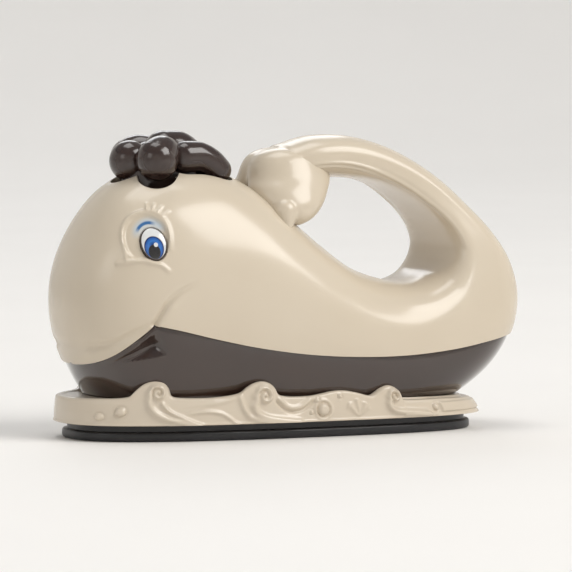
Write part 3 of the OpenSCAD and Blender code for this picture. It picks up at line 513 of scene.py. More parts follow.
# Sections of the whale: shares of length and height for the lower rail and the upper rail, half
# width as a share of the width, and the roundness of the lower and upper side
sections = np.array([
    [-0.500, 0.438, -0.500, 0.479, 0.054, 2.2, 2.2],
    [-0.493, 0.354, -0.491, 0.571, 0.175, 2.2, 2.2],
    [-0.470, 0.240, -0.467, 0.676, 0.292, 2.2, 2.2],
    [-0.430, 0.125, -0.427, 0.780, 0.376, 2.3, 2.2],
    [-0.374, 0.036, -0.380, 0.852, 0.430, 2.4, 2.2],
    [-0.297, -0.010, -0.306, 0.903, 0.469, 2.4, 2.2],
    [-0.200, -0.026, -0.206, 0.904, 0.489, 2.4, 2.2],
    [-0.100, -0.031, -0.116, 0.849, 0.498, 2.4, 2.2],
    [0.000, -0.031, -0.034, 0.750, 0.500, 2.4, 2.2],
    [0.100, -0.021, 0.038, 0.651, 0.492, 2.4, 2.2],
    [0.200, 0.010, 0.107, 0.566, 0.477, 2.4, 2.3],
    [0.294, 0.052, 0.179, 0.519, 0.454, 2.4, 2.5],
    [0.373, 0.115, 0.242, 0.502, 0.426, 2.4, 3.2],
    [0.438, 0.198, 0.294, 0.524, 0.396, 2.4, 4.0],
    [0.482, 0.302, 0.322, 0.570, 0.365, 2.4, 4.8],
    [0.500, 0.427, 0.330, 0.628, 0.336, 2.4, 5.0],
    [0.485, 0.552, 0.317, 0.686, 0.309, 2.4, 5.0],
    [0.444, 0.661, 0.291, 0.738, 0.284, 2.4, 4.6],
    [0.388, 0.758, 0.258, 0.782, 0.262, 2.4, 4.2],
    [0.329, 0.847, 0.220, 0.818, 0.243, 2.4, 3.8],
    [0.263, 0.920, 0.180, 0.842, 0.227, 2.4, 3.4],
    [0.194, 0.972, 0.138, 0.854, 0.214, 2.4, 3.0],
    [0.122, 1.000, 0.088, 0.858, 0.203, 2.4, 2.4],
    [0.051, 1.000, 0.035, 0.852, 0.197, 2.4, 2.3],
    [-0.006, 0.974, -0.002, 0.839, 0.182, 2.4, 2.2],
])
last_section = len(sections) - 1
tail_dome = 5


def through(rows, u):
    """A smooth curve through the rows of a table, at places counted in rows."""
    rows = np.asarray(rows, float)
    last = len(rows) - 1
    i = np.clip(np.floor(u).astype(int), 0, last - 1)
    t = (u - i)[..., None]
    a, b, c, d = rows[np.maximum(i - 1, 0)], rows[i], rows[i + 1], rows[np.minimum(i + 2, last)]
    return (2 * b + (c - a) * t + (2 * a - 5 * b + 4 * c - d) * t**2 + (3 * b - a - 3 * c + d) * t**3) / 2


def curve(rows, steps=8):
    """The smooth curve through a few points, with steps between one and the next."""
    return through(rows, np.linspace(0, len(rows) - 1, (len(rows) - 1) * steps + 1))


def skin(u, turn):
    """A point of the whale's skin: u counts sections from the nose, turn goes round the section.
    Below 0 the nose closes, and past the last section the tail's end closes in a dome."""
    u, turn = np.broadcast_arrays(np.asarray(u, float), np.asarray(turn, float))
    s = through(sections, np.clip(u, 0, last_section))
    low, high = s[..., 0:2] * [body_l, tail_top], s[..., 2:4] * [body_l, tail_top]
    c = np.cos(turn)
    power = 2 / np.where(c < 0, s[..., 5], s[..., 6])
    nose, tail = np.clip(-u, 0, 1), np.clip(u - last_section, 0, 1) * np.pi / 2
    size = (1 - nose) * np.cos(tail)
    middle = (low + high) / 2 + (high - low) / 2 * (signed_power(c, power) * size)[..., None]
    side = s[..., 4] * body_w * signed_power(np.sin(turn), power) * size
    return np.stack([middle[..., 0] - tail_dome * np.sin(tail), side, middle[..., 1]], axis=-1)


def skin_normal(u, turn, step=0.02):
    """The skin's outward direction."""
    along = skin(u + step, turn) - skin(u - step, turn)
    across = skin(u, turn + step) - skin(u, turn - step)
    n = np.cross(along, across)
    return n / np.maximum(np.linalg.norm(n, axis=-1, keepdims=True), 1e-9)


# The line between shells and skirt, in shares of length and height: the lip up to the corner of the
# mouth, and the belly from there to the rear
lip_line = curve([
    [-0.560, 0.228], [-0.508, 0.235], [-0.476, 0.247], [-0.440, 0.283], [-0.403, 0.335], [-0.367, 0.388],
])
belly_line = curve([
    [-0.367, 0.388], [-0.314, 0.369], [-0.239, 0.338], [-0.146, 0.305], [-0.039, 0.279], [0.072, 0.266],
    [0.185, 0.265], [0.298, 0.279], [0.391, 0.302], [0.479, 0.325], [0.560, 0.335],
])
parting_line = np.concatenate([lip_line, belly_line[1:]]) * [body_l, tail_top]
mouth_corner = parting_line[len(lip_line) - 1]


def above_parting(p):
    return p[..., 2] - np.interp(p[..., 0], parting_line[:, 0], parting_line[:, 1])


def parting_turn(u, rise=0.0):
    """The turn at which each ring crosses the parting line moved up by rise, or half a turn."""
    turns = np.linspace(np.pi, 0.8, 1500)
    above = above_parting(skin(np.asarray(u)[:, None], turns[None, :])) - rise
    first = np.argmax(above > 0, axis=1)
    i = np.arange(len(u))
    k = np.maximum(first, 1)
    a, b = above[i, k - 1], above[i, k]
    found = turns[k - 1] + (turns[k] - turns[k - 1]) * -a / np.where(b == a, 1, b - a)
    return np.where(first == 0, np.pi, found)


# Where along the whale the parting line starts, turns at the mouth's corner and ends
fine_u = np.linspace(0, last_section, 4801)
crossing = fine_u[above_parting(skin(fine_u, np.pi)) < 0]
front_u, rear_u = crossing[0], crossing[-1]
head = crossing[crossing < 8]
corner_u = float(np.interp(mouth_corner[0], skin(head, parting_turn(head))[:, 0], head))


def ring_places(first, last, per_section):
    """Rings along the whale, with some set where the parting line starts, turns and ends."""
    even = np.arange(math.ceil(first * per_section), math.floor(last * per_section) + 1) / per_section
    gap = 1 / per_section
    closer = gap * np.linspace(0, 1, 7) ** 2
    marks = np.concatenate([[corner_u], front_u + closer, rear_u - closer])
    marks = marks[(first <= marks) & (marks <= last)]
    keep = [u for u in even if np.min(np.abs(marks - u)) > 0.3 * gap and not
            (front_u < u < front_u + gap or rear_u - gap < u < rear_u)]
    return np.unique(np.concatenate([keep, marks, [first, last]]))


def even_round(u, start, end, count):
    """For each ring, turns from start to end that step evenly along the skin."""
    turns = start[:, None] + (end - start)[:, None] * np.linspace(0, 1, 241)
    p = skin(u[:, None], turns)
    step = np.linalg.norm(np.diff(p, axis=1), axis=2) + 1e-6
    walked = np.concatenate([np.zeros((len(u), 1)), np.cumsum(step, axis=1)], axis=1)
    walked /= walked[:, -1:]
    return np.array([np.interp(np.linspace(0, 1, count), w, t) for w, t in zip(walked, turns)])


def table_at(table, i, j):
    """A table read between its rows and columns."""
    i0 = np.clip(i.astype(int), 0, table.shape[0] - 2)
    j0 = np.clip(j.astype(int), 0, table.shape[1] - 2)
    f, g = i - i0, j - j0
    near = table[i0, j0] * (1 - g) + table[i0, j0 + 1] * g
    far = table[i0 + 1, j0] * (1 - g) + table[i0 + 1, j0 + 1] * g
    return near * (1 - f) + far * f


def felt(points, path, width, strength=(1, 1)):
    """How strongly a soft line along a path is felt at each point: 1 on the line, 0 far off."""
    path = np.asarray(path, float)
    strength = np.interp(np.linspace(0, 1, len(path)), np.linspace(0, 1, len(strength)), strength)
    near = np.all((points > path.min(0) - 4 * width) & (points < path.max(0) + 4 * width), axis=1)
    p = points[near]
    best = np.zeros(len(p))
    for k in range(len(path) - 1):
        step = path[k + 1] - path[k]
        t = np.clip((p - path[k]) @ step / max(step @ step, 1e-12), 0, 1)
        off = np.linalg.norm(p - path[k] - t[:, None] * step, axis=1)
        best = np.maximum(best, np.exp(-(off / width) ** 2) * (strength[k] * (1 - t) + strength[k + 1] * t))
    most = np.zeros(len(points))
    most[near] = best
    return most


def vertex_places(piece):
    return field_of(piece.data.vertices, "co") / mm


def vertex_normals(piece):
    return field_of(piece.data.vertex_normals, "vector")


def face_middles(piece):
    return field_of(piece.data.polygons, "center") / mm


def walled(piece, thickness):
    """Gives a sheet a wall on its inner side."""
    return applied(piece, "SOLIDIFY", thickness=thickness * mm, offset=-1, use_quality_normals=True)


def finer(piece, faces, cuts):
    """Divides some faces of a piece."""
    return edited_part(piece, "FACE", faces, bpy.ops.mesh.subdivide, number_cuts=cuts)


def turned_out(piece, middle):
    """Turns an open sheet's faces away from its middle."""
    away = face_middles(piece) - middle
    if np.sum(field_of(piece.data.polygons, "normal") * away) < 0:
        edited(piece, bpy.ops.mesh.flip_normals)
    return piece


def whale_form(name, depth, per_section=4, sides=72):
    """The whole whale as a closed solid, its skin moved inwards by a depth."""
    along = np.linspace(0, last_section, last_section * per_section + 1)
    u = np.concatenate([[-1, -0.5], along, last_section + np.array([0.4, 0.75, 1])])
    turns = np.linspace(0, 2 * np.pi, sides + 1)

    def place(a, b):
        at, turn = row_of(u, a), row_of(turns, b)
        return skin(at, turn) - depth * skin_normal(np.clip(at, 0.02, last_section - 0.02), turn)

    return closed(laid(name, len(u) - 1, sides, place))


def lip_form(p):
    """How far the lower lip stands out of the skirt: a roll along the mouth, and under it a
    three-sided hollow with its point to the front."""
    q = p[:, [0, 2]]
    roll = curve([[-59.2, 35.2], [-62.2, 32.4], [-65.6, 30.0], [-69.0, 27.8], [-71.5, 26.3]])
    corners = np.array([[-57.2, 35.8], [-70.5, 24.6], [-53.2, 28.0]])
    hollow, slope = 3.2, 3.4
    depth = np.full(len(q), hollow)
    for k in range(3):
        side = corners[(k + 1) % 3] - corners[k]
        off = (q - corners[k]) @ [-side[1], side[0]] / np.hypot(*side)
        depth *= np.clip(off / slope, 0, 1) ** 0.8
    roll_h, roll_w, nose_half, fade = 0.9, 1.6, 14, 4
    rise = roll_h * felt(q, roll, roll_w, [0.6, 1, 1, 0.8, 0.3])
    clear_of_nose = np.clip((np.abs(p[:, 1]) - nose_half) / fade, 0, 1)
    return (rise - depth) * clear_of_nose


def skirt_tub():
    u = ring_places(front_u + 0.001, rear_u - 0.001, 8)
    lip, line = parting_turn(u, lip_h), parting_turn(u)
    side_rows, edge_fall = 29, 0.35
    down = even_round(u, line, np.full(len(u), np.pi), side_rows)
    half = np.column_stack([lip, (lip + line) / 2, line, down])
    # How deep under the whale's skin: the lip, the edge under the shells, and the side
    depth = np.array([lip_step] * 3 + [skirt_step + edge_fall] + [skirt_step] * (side_rows - 1))
    turns = np.concatenate([half, 2 * np.pi - half[:, -2::-1]], axis=1)
    depths = np.broadcast_to(np.concatenate([depth, depth[-2::-1]]), turns.shape)
    rows, columns = turns.shape[0] - 1, turns.shape[1] - 1

    def place(a, b):
        i, j = a * rows, b * columns
        at, turn = np.interp(i, np.arange(len(u)), u), table_at(turns, i, j)
        return skin(at, turn) - table_at(depths, i, j)[:, None] * skin_normal(at, turn)

    piece = laid("skirt_tub", rows, columns, place)
    # Finer faces for the lower lip
    x, y, z = face_middles(piece).T
    finer(piece, (x < -51) & (x > -74) & (z > 23) & (np.abs(y) > 12), 2)
    lay(piece, place)
    turned_out(piece, (0, 0, 25))
    p = vertex_places(piece)
    p += vertex_normals(piece) * lip_form(p)[:, None]
    p[:, 2] = np.maximum(p[:, 2], base_top)
    put_vertices(piece, p)
    closed(walled(merged(piece), skirt_wall))
    # Openings in the floor for the battery box, the switch and the speaker, and bosses for the screws
    low, high, edge = 4, 9, box_wall + 0.2
    side, switch_half_l, switch_reach, speaker_r = box_half_w + edge, 3, 4.7, 8.4
    cut(piece, block((ear_x - ear_r, -side, low), (box_half_l + edge, side, high)))
    cut(piece, block((ear_x - switch_half_l, 0, low), (ear_x + switch_half_l, switch_y + switch_reach, high)))
    cut(piece, rod((speaker_x, 0, low), speaker_r, high - low, 48))
    boss_bottom, boss_h, bore_h = 5.4, 6.6, 7
    for x, y in sole_screw_places:
        cut(join(piece, rod((x, y, boss_bottom), boss_r, boss_h)), rod((x, y, low), screw_r, bore_h))
    return smooth(piece, 40)


skirt_brown = plastic(
    "skirt_brown", (56, 39, 31), (46, 31, 25), roughness=0.10, patch=30.0, grain=2400.0, bump=0.02, coat=1.0,
)
dressed(skirt_tub(), skirt_brown, "iron", "skirt_brown", "skirt")

# Wave trim: a cream moulded belt round the foot of the whale, with three curling crests on each
# side, foam beads and a scallop shell between them. It is pegged to the sole and hugs the skirt.
trim_columns, face_rows = 960, 30
# Top edge of the belt along the side: place from the middle, and height above the sole's neck
edge_line = curve([
    (-82, 8.5), (-75, 8.6), (-69.5, 8.8), (-66.2, 9.4), (-64.8, 10.8), (-62.9, 12.6), (-61.1, 13.7),
    (-59.2, 14.3), (-57.2, 14.2), (-55.4, 13.3), (-54.3, 11.7), (-53.8, 9.8), (-52.4, 9.0), (-49, 8.7),
    (-44, 8.6), (-39.7, 8.7), (-34.1, 9.2), (-30.5, 10.0), (-28.3, 11.5), (-26.1, 12.7), (-23.1, 13.4),
    (-20.3, 12.9), (-18.2, 11.3), (-17.2, 9.5), (-15.8, 8.7), (-12, 8.2), (-5.2, 8.3), (-0.6, 8.9),
    (3.2, 9.5), (7.8, 9.6), (12.5, 8.8), (17.5, 7.7), (20.2, 8.7), (22.3, 10.0), (24.6, 10.7), (26.7, 10.3),
    (28.5, 8.9), (29.4, 7.0), (30.4, 6.0), (36.7, 5.7), (45.6, 5.7), (57, 5.4), (67, 5.2),
], 6)
# Each crest's curl as its middle, its first and last radius and its sweep, the arm that rises into it
# and the arm's width
crests = [
    ((-57.2, 10.5), (2.75, 0.3), 520,
     [(-44, -0.4), (-49, 1.0), (-53.5, 2.0), (-57, 3.6), (-59.2, 5.8), (-60.0, 8.0)], 0.95),
    ((-21.9, 8.9), (3.3, 0.3), 500, [(-10, 0.2), (-16, 0.9), (-21, 1.7), (-24.4, 3.4), (-25.8, 5.6)], 1.15),
    ((25.6, 7.2), (2.3, 0.5), 420, [(38, 1.2), (31, 1.9), (26.2, 2.3), (23.6, 3.6), (23.0, 5.2)], 0.9),
]
# Ridges and grooves between the crests: height, width, path and how the height changes along it
level_ridge = (1, 1)
ridges = [
    (0.8, 0.8, [(-30.5, 8.6), (-29.2, 5.0), (-26.8, 2.2), (-22, 0.6), (-15, -0.2)], level_ridge),
    (0.9, 0.6, [(-55.8, 7.0), (-54.4, 5.4), (-52.4, 3.9), (-49, 2.4), (-43.6, -0.2)], level_ridge),
    (0.6, 0.6, [(-50.5, 2.9), (-46, 3.9), (-41.2, 4.3), (-37, 3.7), (-34.2, 2.2), (-31.2, 0)], (0, 1, 1, 1)),
    (0.5, 0.8, [(-49, 6.0), (-42, 6.6), (-36, 7.4), (-31.5, 8.6)], (0, 1, 0.6)),
    (0.5, 0.5, [(28.6, 1.0), (36.7, 0.9), (41, 0.9)], level_ridge),
    (-0.75, 0.55, [(-17.6, 6.8), (-15.2, 4.5), (-12.1, 3.4), (-8.3, 4.1), (-5, 6.3)], level_ridge),
    (0.45, 0.8, [(-16.8, 7.6), (-14.4, 5.6), (-12.1, 4.8), (-9, 5.3), (-6, 7.2)], level_ridge),
]
# Foam beads: place and radius
big_bead = (-1.2, 3.9, 2.0)
beads = [(-68.1, 4.6, 1.5), (-73.7, 2.9, 1.15), (-5.5, 3.1, 0.7), (-3.4, 7.0, 0.75), (5.1, 8.0, 0.75)]
beads += [big_bead, (41.7, 3.1, 1.1)]


def spiral(middle, radii, sweep, start=205):
    """A curl that winds inwards from a start angle."""
    t = np.linspace(0, 1, 40)
    turn = np.radians(start - sweep * t)
    reach = radii[0] + (radii[1] - radii[0]) * t
    return np.stack([middle[0] + reach * np.cos(turn), middle[1] + reach * np.sin(turn)], axis=1)


def wave_relief(x, z):
    """How far the wave pattern stands out of the belt at a place along it."""
    p = np.stack([x, z], axis=1)
    foot_h, foot_top, foot_fade, crest_h, curl_share = 0.25, 0.5, 0.35, 1.3, 0.62
    out = foot_h * np.exp(-(np.maximum(z - foot_top, 0) / foot_fade) ** 2)
    for middle, radii, sweep, arm, width in crests:
        curl = spiral(middle, radii, sweep)
        rising = np.concatenate([curve(arm), curl[:3]])
        out += crest_h * np.maximum(felt(p, rising, width), felt(p, curl, curl_share * width))
    for height, width, path, strength in ridges:
        out += height * felt(p, curve(path), width, strength)
    # Each bead is a flattened dome with a groove round it, and the big one has a ring too
    flatness, groove_h, groove_gap, groove_w = 0.75, 0.2, 0.25, 0.3
    for bead_x, bead_z, r in beads:
        off = np.hypot(x - bead_x, z - bead_z)
        out += flatness * np.sqrt(np.maximum(r**2 - off**2, 0))
        out -= groove_h * np.exp(-((off - r - groove_gap) / groove_w) ** 2)
    ring_h, ring_r, ring_w = 0.4, 3.0, 0.45
    off = np.hypot(x - big_bead[0], z - big_bead[1])
    out += ring_h * np.exp(-((off - ring_r) / ring_w) ** 2)
    # The scallop: nine ribs to the turn that fan out from its hinge
    hinge_x, hinge_z, scallop_r, spread = 11.5, 1.2, 5.6, 1.15
    hx, hz = x - hinge_x, z - hinge_z
    off, fan = np.hypot(hx, hz), np.arctan2(hx, np.maximum(hz, 1e-6))
    ribs = np.cos(9 * fan)
    scallop = np.clip((scallop_r + 0.25 * ribs - off) / 0.5, 0, 1) * (hz > -0.3)
    scallop *= np.clip((spread - np.abs(fan)) / 0.15, 0, 1)
    out += scallop * (0.35 + 0.22 * ribs * np.clip(off / 3, 0, 1))
    # The bar along the rear
    bar_x, bar_low, bar_high = 43.6, 1.3, 4.7
    bar = np.clip((x - bar_x) / 0.5, 0, 1) * np.clip((z - bar_low) / 0.4, 0, 1)
    out += 0.6 * bar * np.clip((bar_high - z) / 0.4, 0, 1)
    level, most = 0.9, 1.3
    return np.where(out > level, level + (most - level) * np.tanh((out - level) / (most - level)), out)


def wave_trim():
    turns = even_turns(trim_columns + 1)
    # The belt's wall from its foot up the face and over the crests' edge, as steps inwards and shares
    # of the edge's height, then the deck that closes in to the skirt, as steps inwards and drops
    face = np.linspace(0, 1, face_rows + 1)
    rows = [(0.35, 0.0)] + [(0.1, 0.02 + 0.92 * f) for f in face]
    rows += [(0.3, 0.975), (0.75, 1.0), (1.7, 1.0), (2.1, 0.975)]
    deck_rows = [(2.4, 0.1), (24, 0.1), (24, 2.1), (4, 2.1), (4, 99)]
    edge_rows = len(rows)
    sunk = np.array([r[0] for r in rows + deck_rows])
    drop = np.array([0] * edge_rows + [r[1] for r in deck_rows])
    level = np.array([r[1] for r in rows] + [1, 1, 1, 0.5, 0])
    lean_levels = [0, 0.45, 0.80, 0.95, 1]
    side_in = np.interp(level, lean_levels, [0.55, 0.65, 0.95, 1.2, 1.5]) + sunk
    rear_in = np.interp(level, lean_levels, [0.2, 1.5, 2.9, 3.7, 4.4]) + sunk
    deck_front, deck_fall, nudge = 8.4, 0.3, 1e-4

    def place(a, b):
        turn = row_of(turns, a)
        k = np.round(b * (len(level) - 1)).astype(int)
        x0 = base_outline(turn)[0]
        x, y = base_outline(turn, side_in[k], rear_in[k])
        edge = np.interp(x0, edge_line[:, 0], edge_line[:, 1])
        deck = deck_front * (1 - deck_fall * (x0 - base_front) / trim_l)
        z = np.where(k < edge_rows, level[k] * edge, np.maximum(deck - drop[k], 0))
        along = np.subtract(base_outline(turn + nudge), base_outline(turn - nudge))
        along /= np.hypot(*along)
        out = wave_relief(x0, z) * np.where(k == 0, 0.5, np.clip((edge_rows - 2 - k) / 2, 0, 1))
        return np.stack([x + out * along[1], y - out * along[0], base_top + z], axis=1)

    def bridged():
        bpy.ops.mesh.select_all(action="DESELECT")
        bpy.ops.mesh.select_non_manifold()
        bpy.ops.mesh.bridge_edge_loops()

    piece = merged(laid("wave_trim", trim_columns, len(level) - 1, place), 0.002)
    edited(edited(piece, bridged), bpy.ops.mesh.normals_make_consistent, inside=False)
    return smooth(cut(piece, whale_form("skirt_room", 0.7, 6, 96)), 50)


cream_skin = {"roughness": 0.18, "patch": 25.0, "grain": 2600.0, "bump": 0.015}
cream_plastic = plastic("cream_plastic", (212, 200, 182), (206, 193, 174), coat=0.2, **cream_skin)
dressed(wave_trim(), cream_plastic, "iron", "cream_plastic", "trim")

# Push button under the tuft: a cream guide with a plunger, its return spring and a small switch
# board. Screws hold the guide to brackets in the shells; the spring is wound from steel wire.
guide_cream = plastic(
    "guide_cream", (212, 200, 180), (198, 186, 164), roughness=0.35, patch=80.0, grain=2600.0, bump=0.03,
)
coat_nodes(guide_cream, "button_guide", "button_plunger")
tuft_x, guide_top, spring_h = -40, 72.01, 8.02


def return_spring():
    turns, steps, wire_r, coil_r = 4, 36, 0.4, 4.3

    def place(a, b):
        t, around = a * turns * 2 * np.pi, b * 2 * np.pi
        out = coil_r + wire_r * np.cos(around)
        z = guide_top + wire_r + (spring_h - 2 * wire_r) * a + wire_r * np.sin(around)
        return np.stack([tuft_x + out * np.cos(t), out * np.sin(t), z], axis=1)

    return smooth(closed(laid("return_coil", turns * steps, 10, place)), 60)


coil = dressed(return_spring(), zinc_steel, "iron", "zinc_steel", "return_spring")
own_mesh(coil)

# Body shells: two cream halves that meet along the middle and are screwed together from the right.
# The tail curls over as the handle and ends in two flukes; lids, lashes and the smile are moulded in.
shell_wall = 2.2
round_columns = 60
eye_u, eye_turn = 4.2, math.radians(61)
eye_half_w, eye_half_h = 4.05, 5.6
# Where the eye's middle lies, along and up from its place on the skin
eye_shift = (0.5, -0.7)


def unit(v):
    return v / np.linalg.norm(v)


# The eye's own frame on the left side: along the head, up and out of the skin
eye_at = skin(eye_u, -eye_turn)
eye_forth = unit(skin(eye_u + 0.2, -eye_turn) - skin(eye_u - 0.2, -eye_turn))
eye_up = unit(skin(eye_u, -eye_turn + math.radians(4)) - skin(eye_u, -eye_turn - math.radians(4)))
eye_out = unit(np.cross(eye_forth, eye_up))
eye_rise = np.cross(eye_out, eye_forth)


def tail_path(degrees):
    """A path along the left side of the tail, by the degrees from its upper rail."""
    fine = curve(np.column_stack([[23.4, 22.4, 21.18, 19.8, 18.34, 17.3, 16.2, 15.2], degrees]), 6)
    return skin(fine[:, 0], -np.radians(fine[:, 1]))


def eye_place(p):
    """Places in the eye's own frame."""
    return (p - eye_at) @ np.stack([eye_forth, eye_rise, eye_out], axis=1)


def eye_relief(p):
    """The socket's rim, the lower lid, the sunk lid with the eye's pocket in it, and the lashes."""
    e = eye_place(p)
    flat = e[:, :2]
    socket = curve([
        (-9.3, -3.4), (-8.8, 0.2), (-8.2, 4.5), (-6.8, 7.8), (-4.0, 10.1), (0.4, 10.7), (3.6, 9.6),
        (5.7, 7.1), (6.5, 3.6), (6.3, 0.4), (5.2, -3.9),
    ])
    lid = curve([(-12.2, -3.2), (-8.7, -4.0), (-5, -4.9), (-1.8, -6.6), (0.8, -8.2), (2.4, -10.4)])
    out = 0.5 * felt(flat, socket, 0.7, [0.6, 1, 1, 1, 1, 1, 0.6])
    out += 0.7 * felt(flat, lid, 0.75, [0.5, 1, 1, 1, 0.5])
    inside = np.hypot((flat[:, 0] + 1.2) / 7.1, (flat[:, 1] - 1.6) / 8.4)
    out -= 0.7 * np.clip((1.03 - inside) / 0.12, 0, 1) * np.clip((flat[:, 1] + 5.2) / 1.5, 0, 1)
    lashes = [((2.0, 11.0), (2.8, 13.0)), ((3.7, 10.4), (5.0, 12.1)), ((5.3, 9.2), (7.1, 10.7)),
              ((6.5, 7.5), (8.7, 8.4))]
    for lash in lashes:
        out += 0.5 * felt(flat, lash, 0.42, [1, 0.5])
    pocket = np.hypot(*((flat - eye_shift) / [eye_half_w + 0.05, eye_half_h + 0.05]).T)
    out = np.where(pocket < 1.25, out - 1.2 * np.clip((1.04 - pocket) / 0.06, 0, 1), out)
    return out * (np.abs(e[:, 2]) < 6)


def face_relief(p):
    """How far the moulded face and the tail's rim stand out of the smooth skin."""
    lip = curve([
        (-77.3, 0, 29.2), (-76.3, -11.7, 30), (-72.8, -19, 30.6), (-69.3, -22.9, 32), (-66.1, -25.3, 34.1),
        (-62.1, -27.2, 36.1), (-59.2, -28.3, 37.4),
    ])
    smile = curve([(-58.6, 37.6), (-56.6, 41.2), (-55.0, 43.7), (-51.1, 47.4), (-45.3, 50.5)])
    cheek = curve([(-56.2, -29, 38.6), (-53.6, -29.6, 43.0), (-50.8, -30, 46)])
    out = eye_relief(p) - 0.8 * felt(p, lip, 1.2, [0.7, 1, 1, 1, 0.6])
    out -= 1.2 * felt(p[:, [0, 2]], smile, 0.85, [1, 1, 0.9, 0.6, 0.1]) * (p[:, 1] < -20)
    out += 0.5 * felt(p, cheek, 2.0, [0.3, 1, 0.2])
    for height, degrees in [
        (0.55, [79, 77.5, 74, 64, 57, 56.5, 57.5, 58]),
        (0.4, [68, 66.5, 63, 54, 48, 47.5, 48.5, 49]),
    ]:
        out += height * felt(p, tail_path(degrees), 0.6, [0.3, 1, 1, 1, 0.6, 0.1])
    return out


def ball(x, y, z, r, segments=40):
    return primitive(
        "ball", bpy.ops.mesh.primitive_uv_sphere_add, segments=segments, ring_count=segments // 2,
        radius=r * mm, location=(x * mm, y * mm, z * mm),
    )


def wrapped(balls):
    """A tight skin round a few balls."""
    made = [ball(*b) for b in balls]
    alone(made[0])
    for piece in made:
        piece.select_set(True)
    bpy.ops.object.join()
    return edited(made[0], bpy.ops.mesh.convex_hull, join_triangles=False)


def softened(piece, voxel, rounds):
    """Melts a form's pieces into one skin and smooths it."""
    applied(piece, "REMESH", mode="VOXEL", voxel_size=voxel * mm)
    return applied(piece, "SMOOTH", factor=0.5, iterations=rounds)


def flukes(side):
    """One half of the flukes: two smooth buds that hang from the tail's end, with a nub at each tip."""
    # Down a bud: its middle along, out and up, and its half sizes along and out
    levels = curve([
        [-1.2, 3.0, 92.6, 0.3, 0.3], [-1.4, 3.0, 91.6, 6.8, 5.6], [-0.8, 3.0, 89.4, 11.4, 8.8],
        [-1.0, 3.2, 86.0, 13.3, 10.4], [-0.8, 4.2, 82.6, 14.0, 11.2], [-2.5, 6.8, 79.3, 13.8, 10.8],
        [-3.1, 9.6, 76.0, 12.2, 9.8], [-3.6, 12.2, 72.8, 10.0, 8.2], [-3.4, 14.0, 69.8, 6.3, 6.0],
        [-3.6, 14.8, 67.8, 2.9, 2.9], [-3.7, 15.0, 67.0, 0.3, 0.3],
    ])

    def bud(way):
        def place(a, b):
            x, y, z, along, out = row_of(levels, a).T
            turn = b * 2 * np.pi
            return np.stack([x + along * np.cos(turn), way * (y + out * np.sin(turn)), z], axis=1)

        return closed(laid("flukes", len(levels) - 1, 64, place))

    piece = softened(join(bud(-1), bud(1)), 0.6, 50)
    for way in (-1, 1):
        join(piece, wrapped([(-8.0, way * 16.4, 71.8, 4.5), (-8.5, way * 19.4, 67.3, 1.6)]))
    softened(piece, 0.45, 4)
    half = {"plane_co": (0, 0, 0), "plane_no": (0, side, 0), "clear_inner": True, "use_fill": True}
    return edited(piece, bpy.ops.mesh.bisect, **half)


# Curls of the tuft: the places along each curl and its radius there. The opening in the shells has
# room for them and for the tuft's hidden rim, which slides in it.
tuft_base, press_travel, run_gap = 76.512, 2.5, 0.4
middle_curls = [
    [(-55.2, 0, 88.4, 6.6)],
    [(-48.6, 0, 88.6, 6.0)],
    [(-43.0, 0, 91.0, 7.1), (-38.5, 0, 91.2, 6.6), (-34.6, 0, 89.4, 5.7), (-32.6, 0, 87.6, 5.2)],
]
side_curls = [
    [(-44.5, -6.0, 91.0, 5.0), (-48.0, -9.0, 90.6, 6.1), (-50.2, -10.7, 88.9, 6.8)],
    [(-39.6, -8.5, 89.6, 5.2), (-35.0, -8.6, 89.6, 4.9), (-31.0, -8.6, 87.9, 4.6), (-28.2, -8.6, 85.4, 4.4)],
]
curls = [np.array(c) for c in middle_curls + side_curls] + [np.array(c) * [1, -1, 1, 1] for c in side_curls]


def rim_plan(bottom, top, gap):
    """The tuft's hidden rim, a round-ended slot, between two levels and grown by a gap."""
    r, middle, reach = 7 + gap, -43.5, 7.5
    piece = block((middle - reach, -r, bottom), (middle + reach, r, top))
    return join(piece, *(rod((middle + end, 0, bottom), r, top - bottom, 48) for end in (-reach, reach)))


def curl_room():
    """Room in the shells for the rim and for the curls, all the way down to where they are pressed."""
    bottom, room_h, lift = tuft_base - press_travel - overrun, 22, 20
    opening_share, opening_h = 0.88, 10
    piece = rim_plan(bottom, tuft_base + room_h, run_gap)
    for curl in curls:
        for k in range(max(len(curl) - 1, 1)):
            part = curl[k:k + 2]
            pressed, lifted = part + [0, 0, -press_travel, run_gap], part + [0, 0, lift, run_gap]
            join(piece, wrapped([*pressed, *lifted]))
        for x, y, z, r in curl:
            join(piece, rod((x, y, bottom), opening_share * r + run_gap, opening_h))
    return piece


post_places = [(-70.4, 48), (-14.4, 63.36), (67.2, 42.24), (24.64, 88.32)]
guide_places = [(tuft_x + x, y) for x in (-12.4, 12.4) for y in (-10.4, 10.4)]


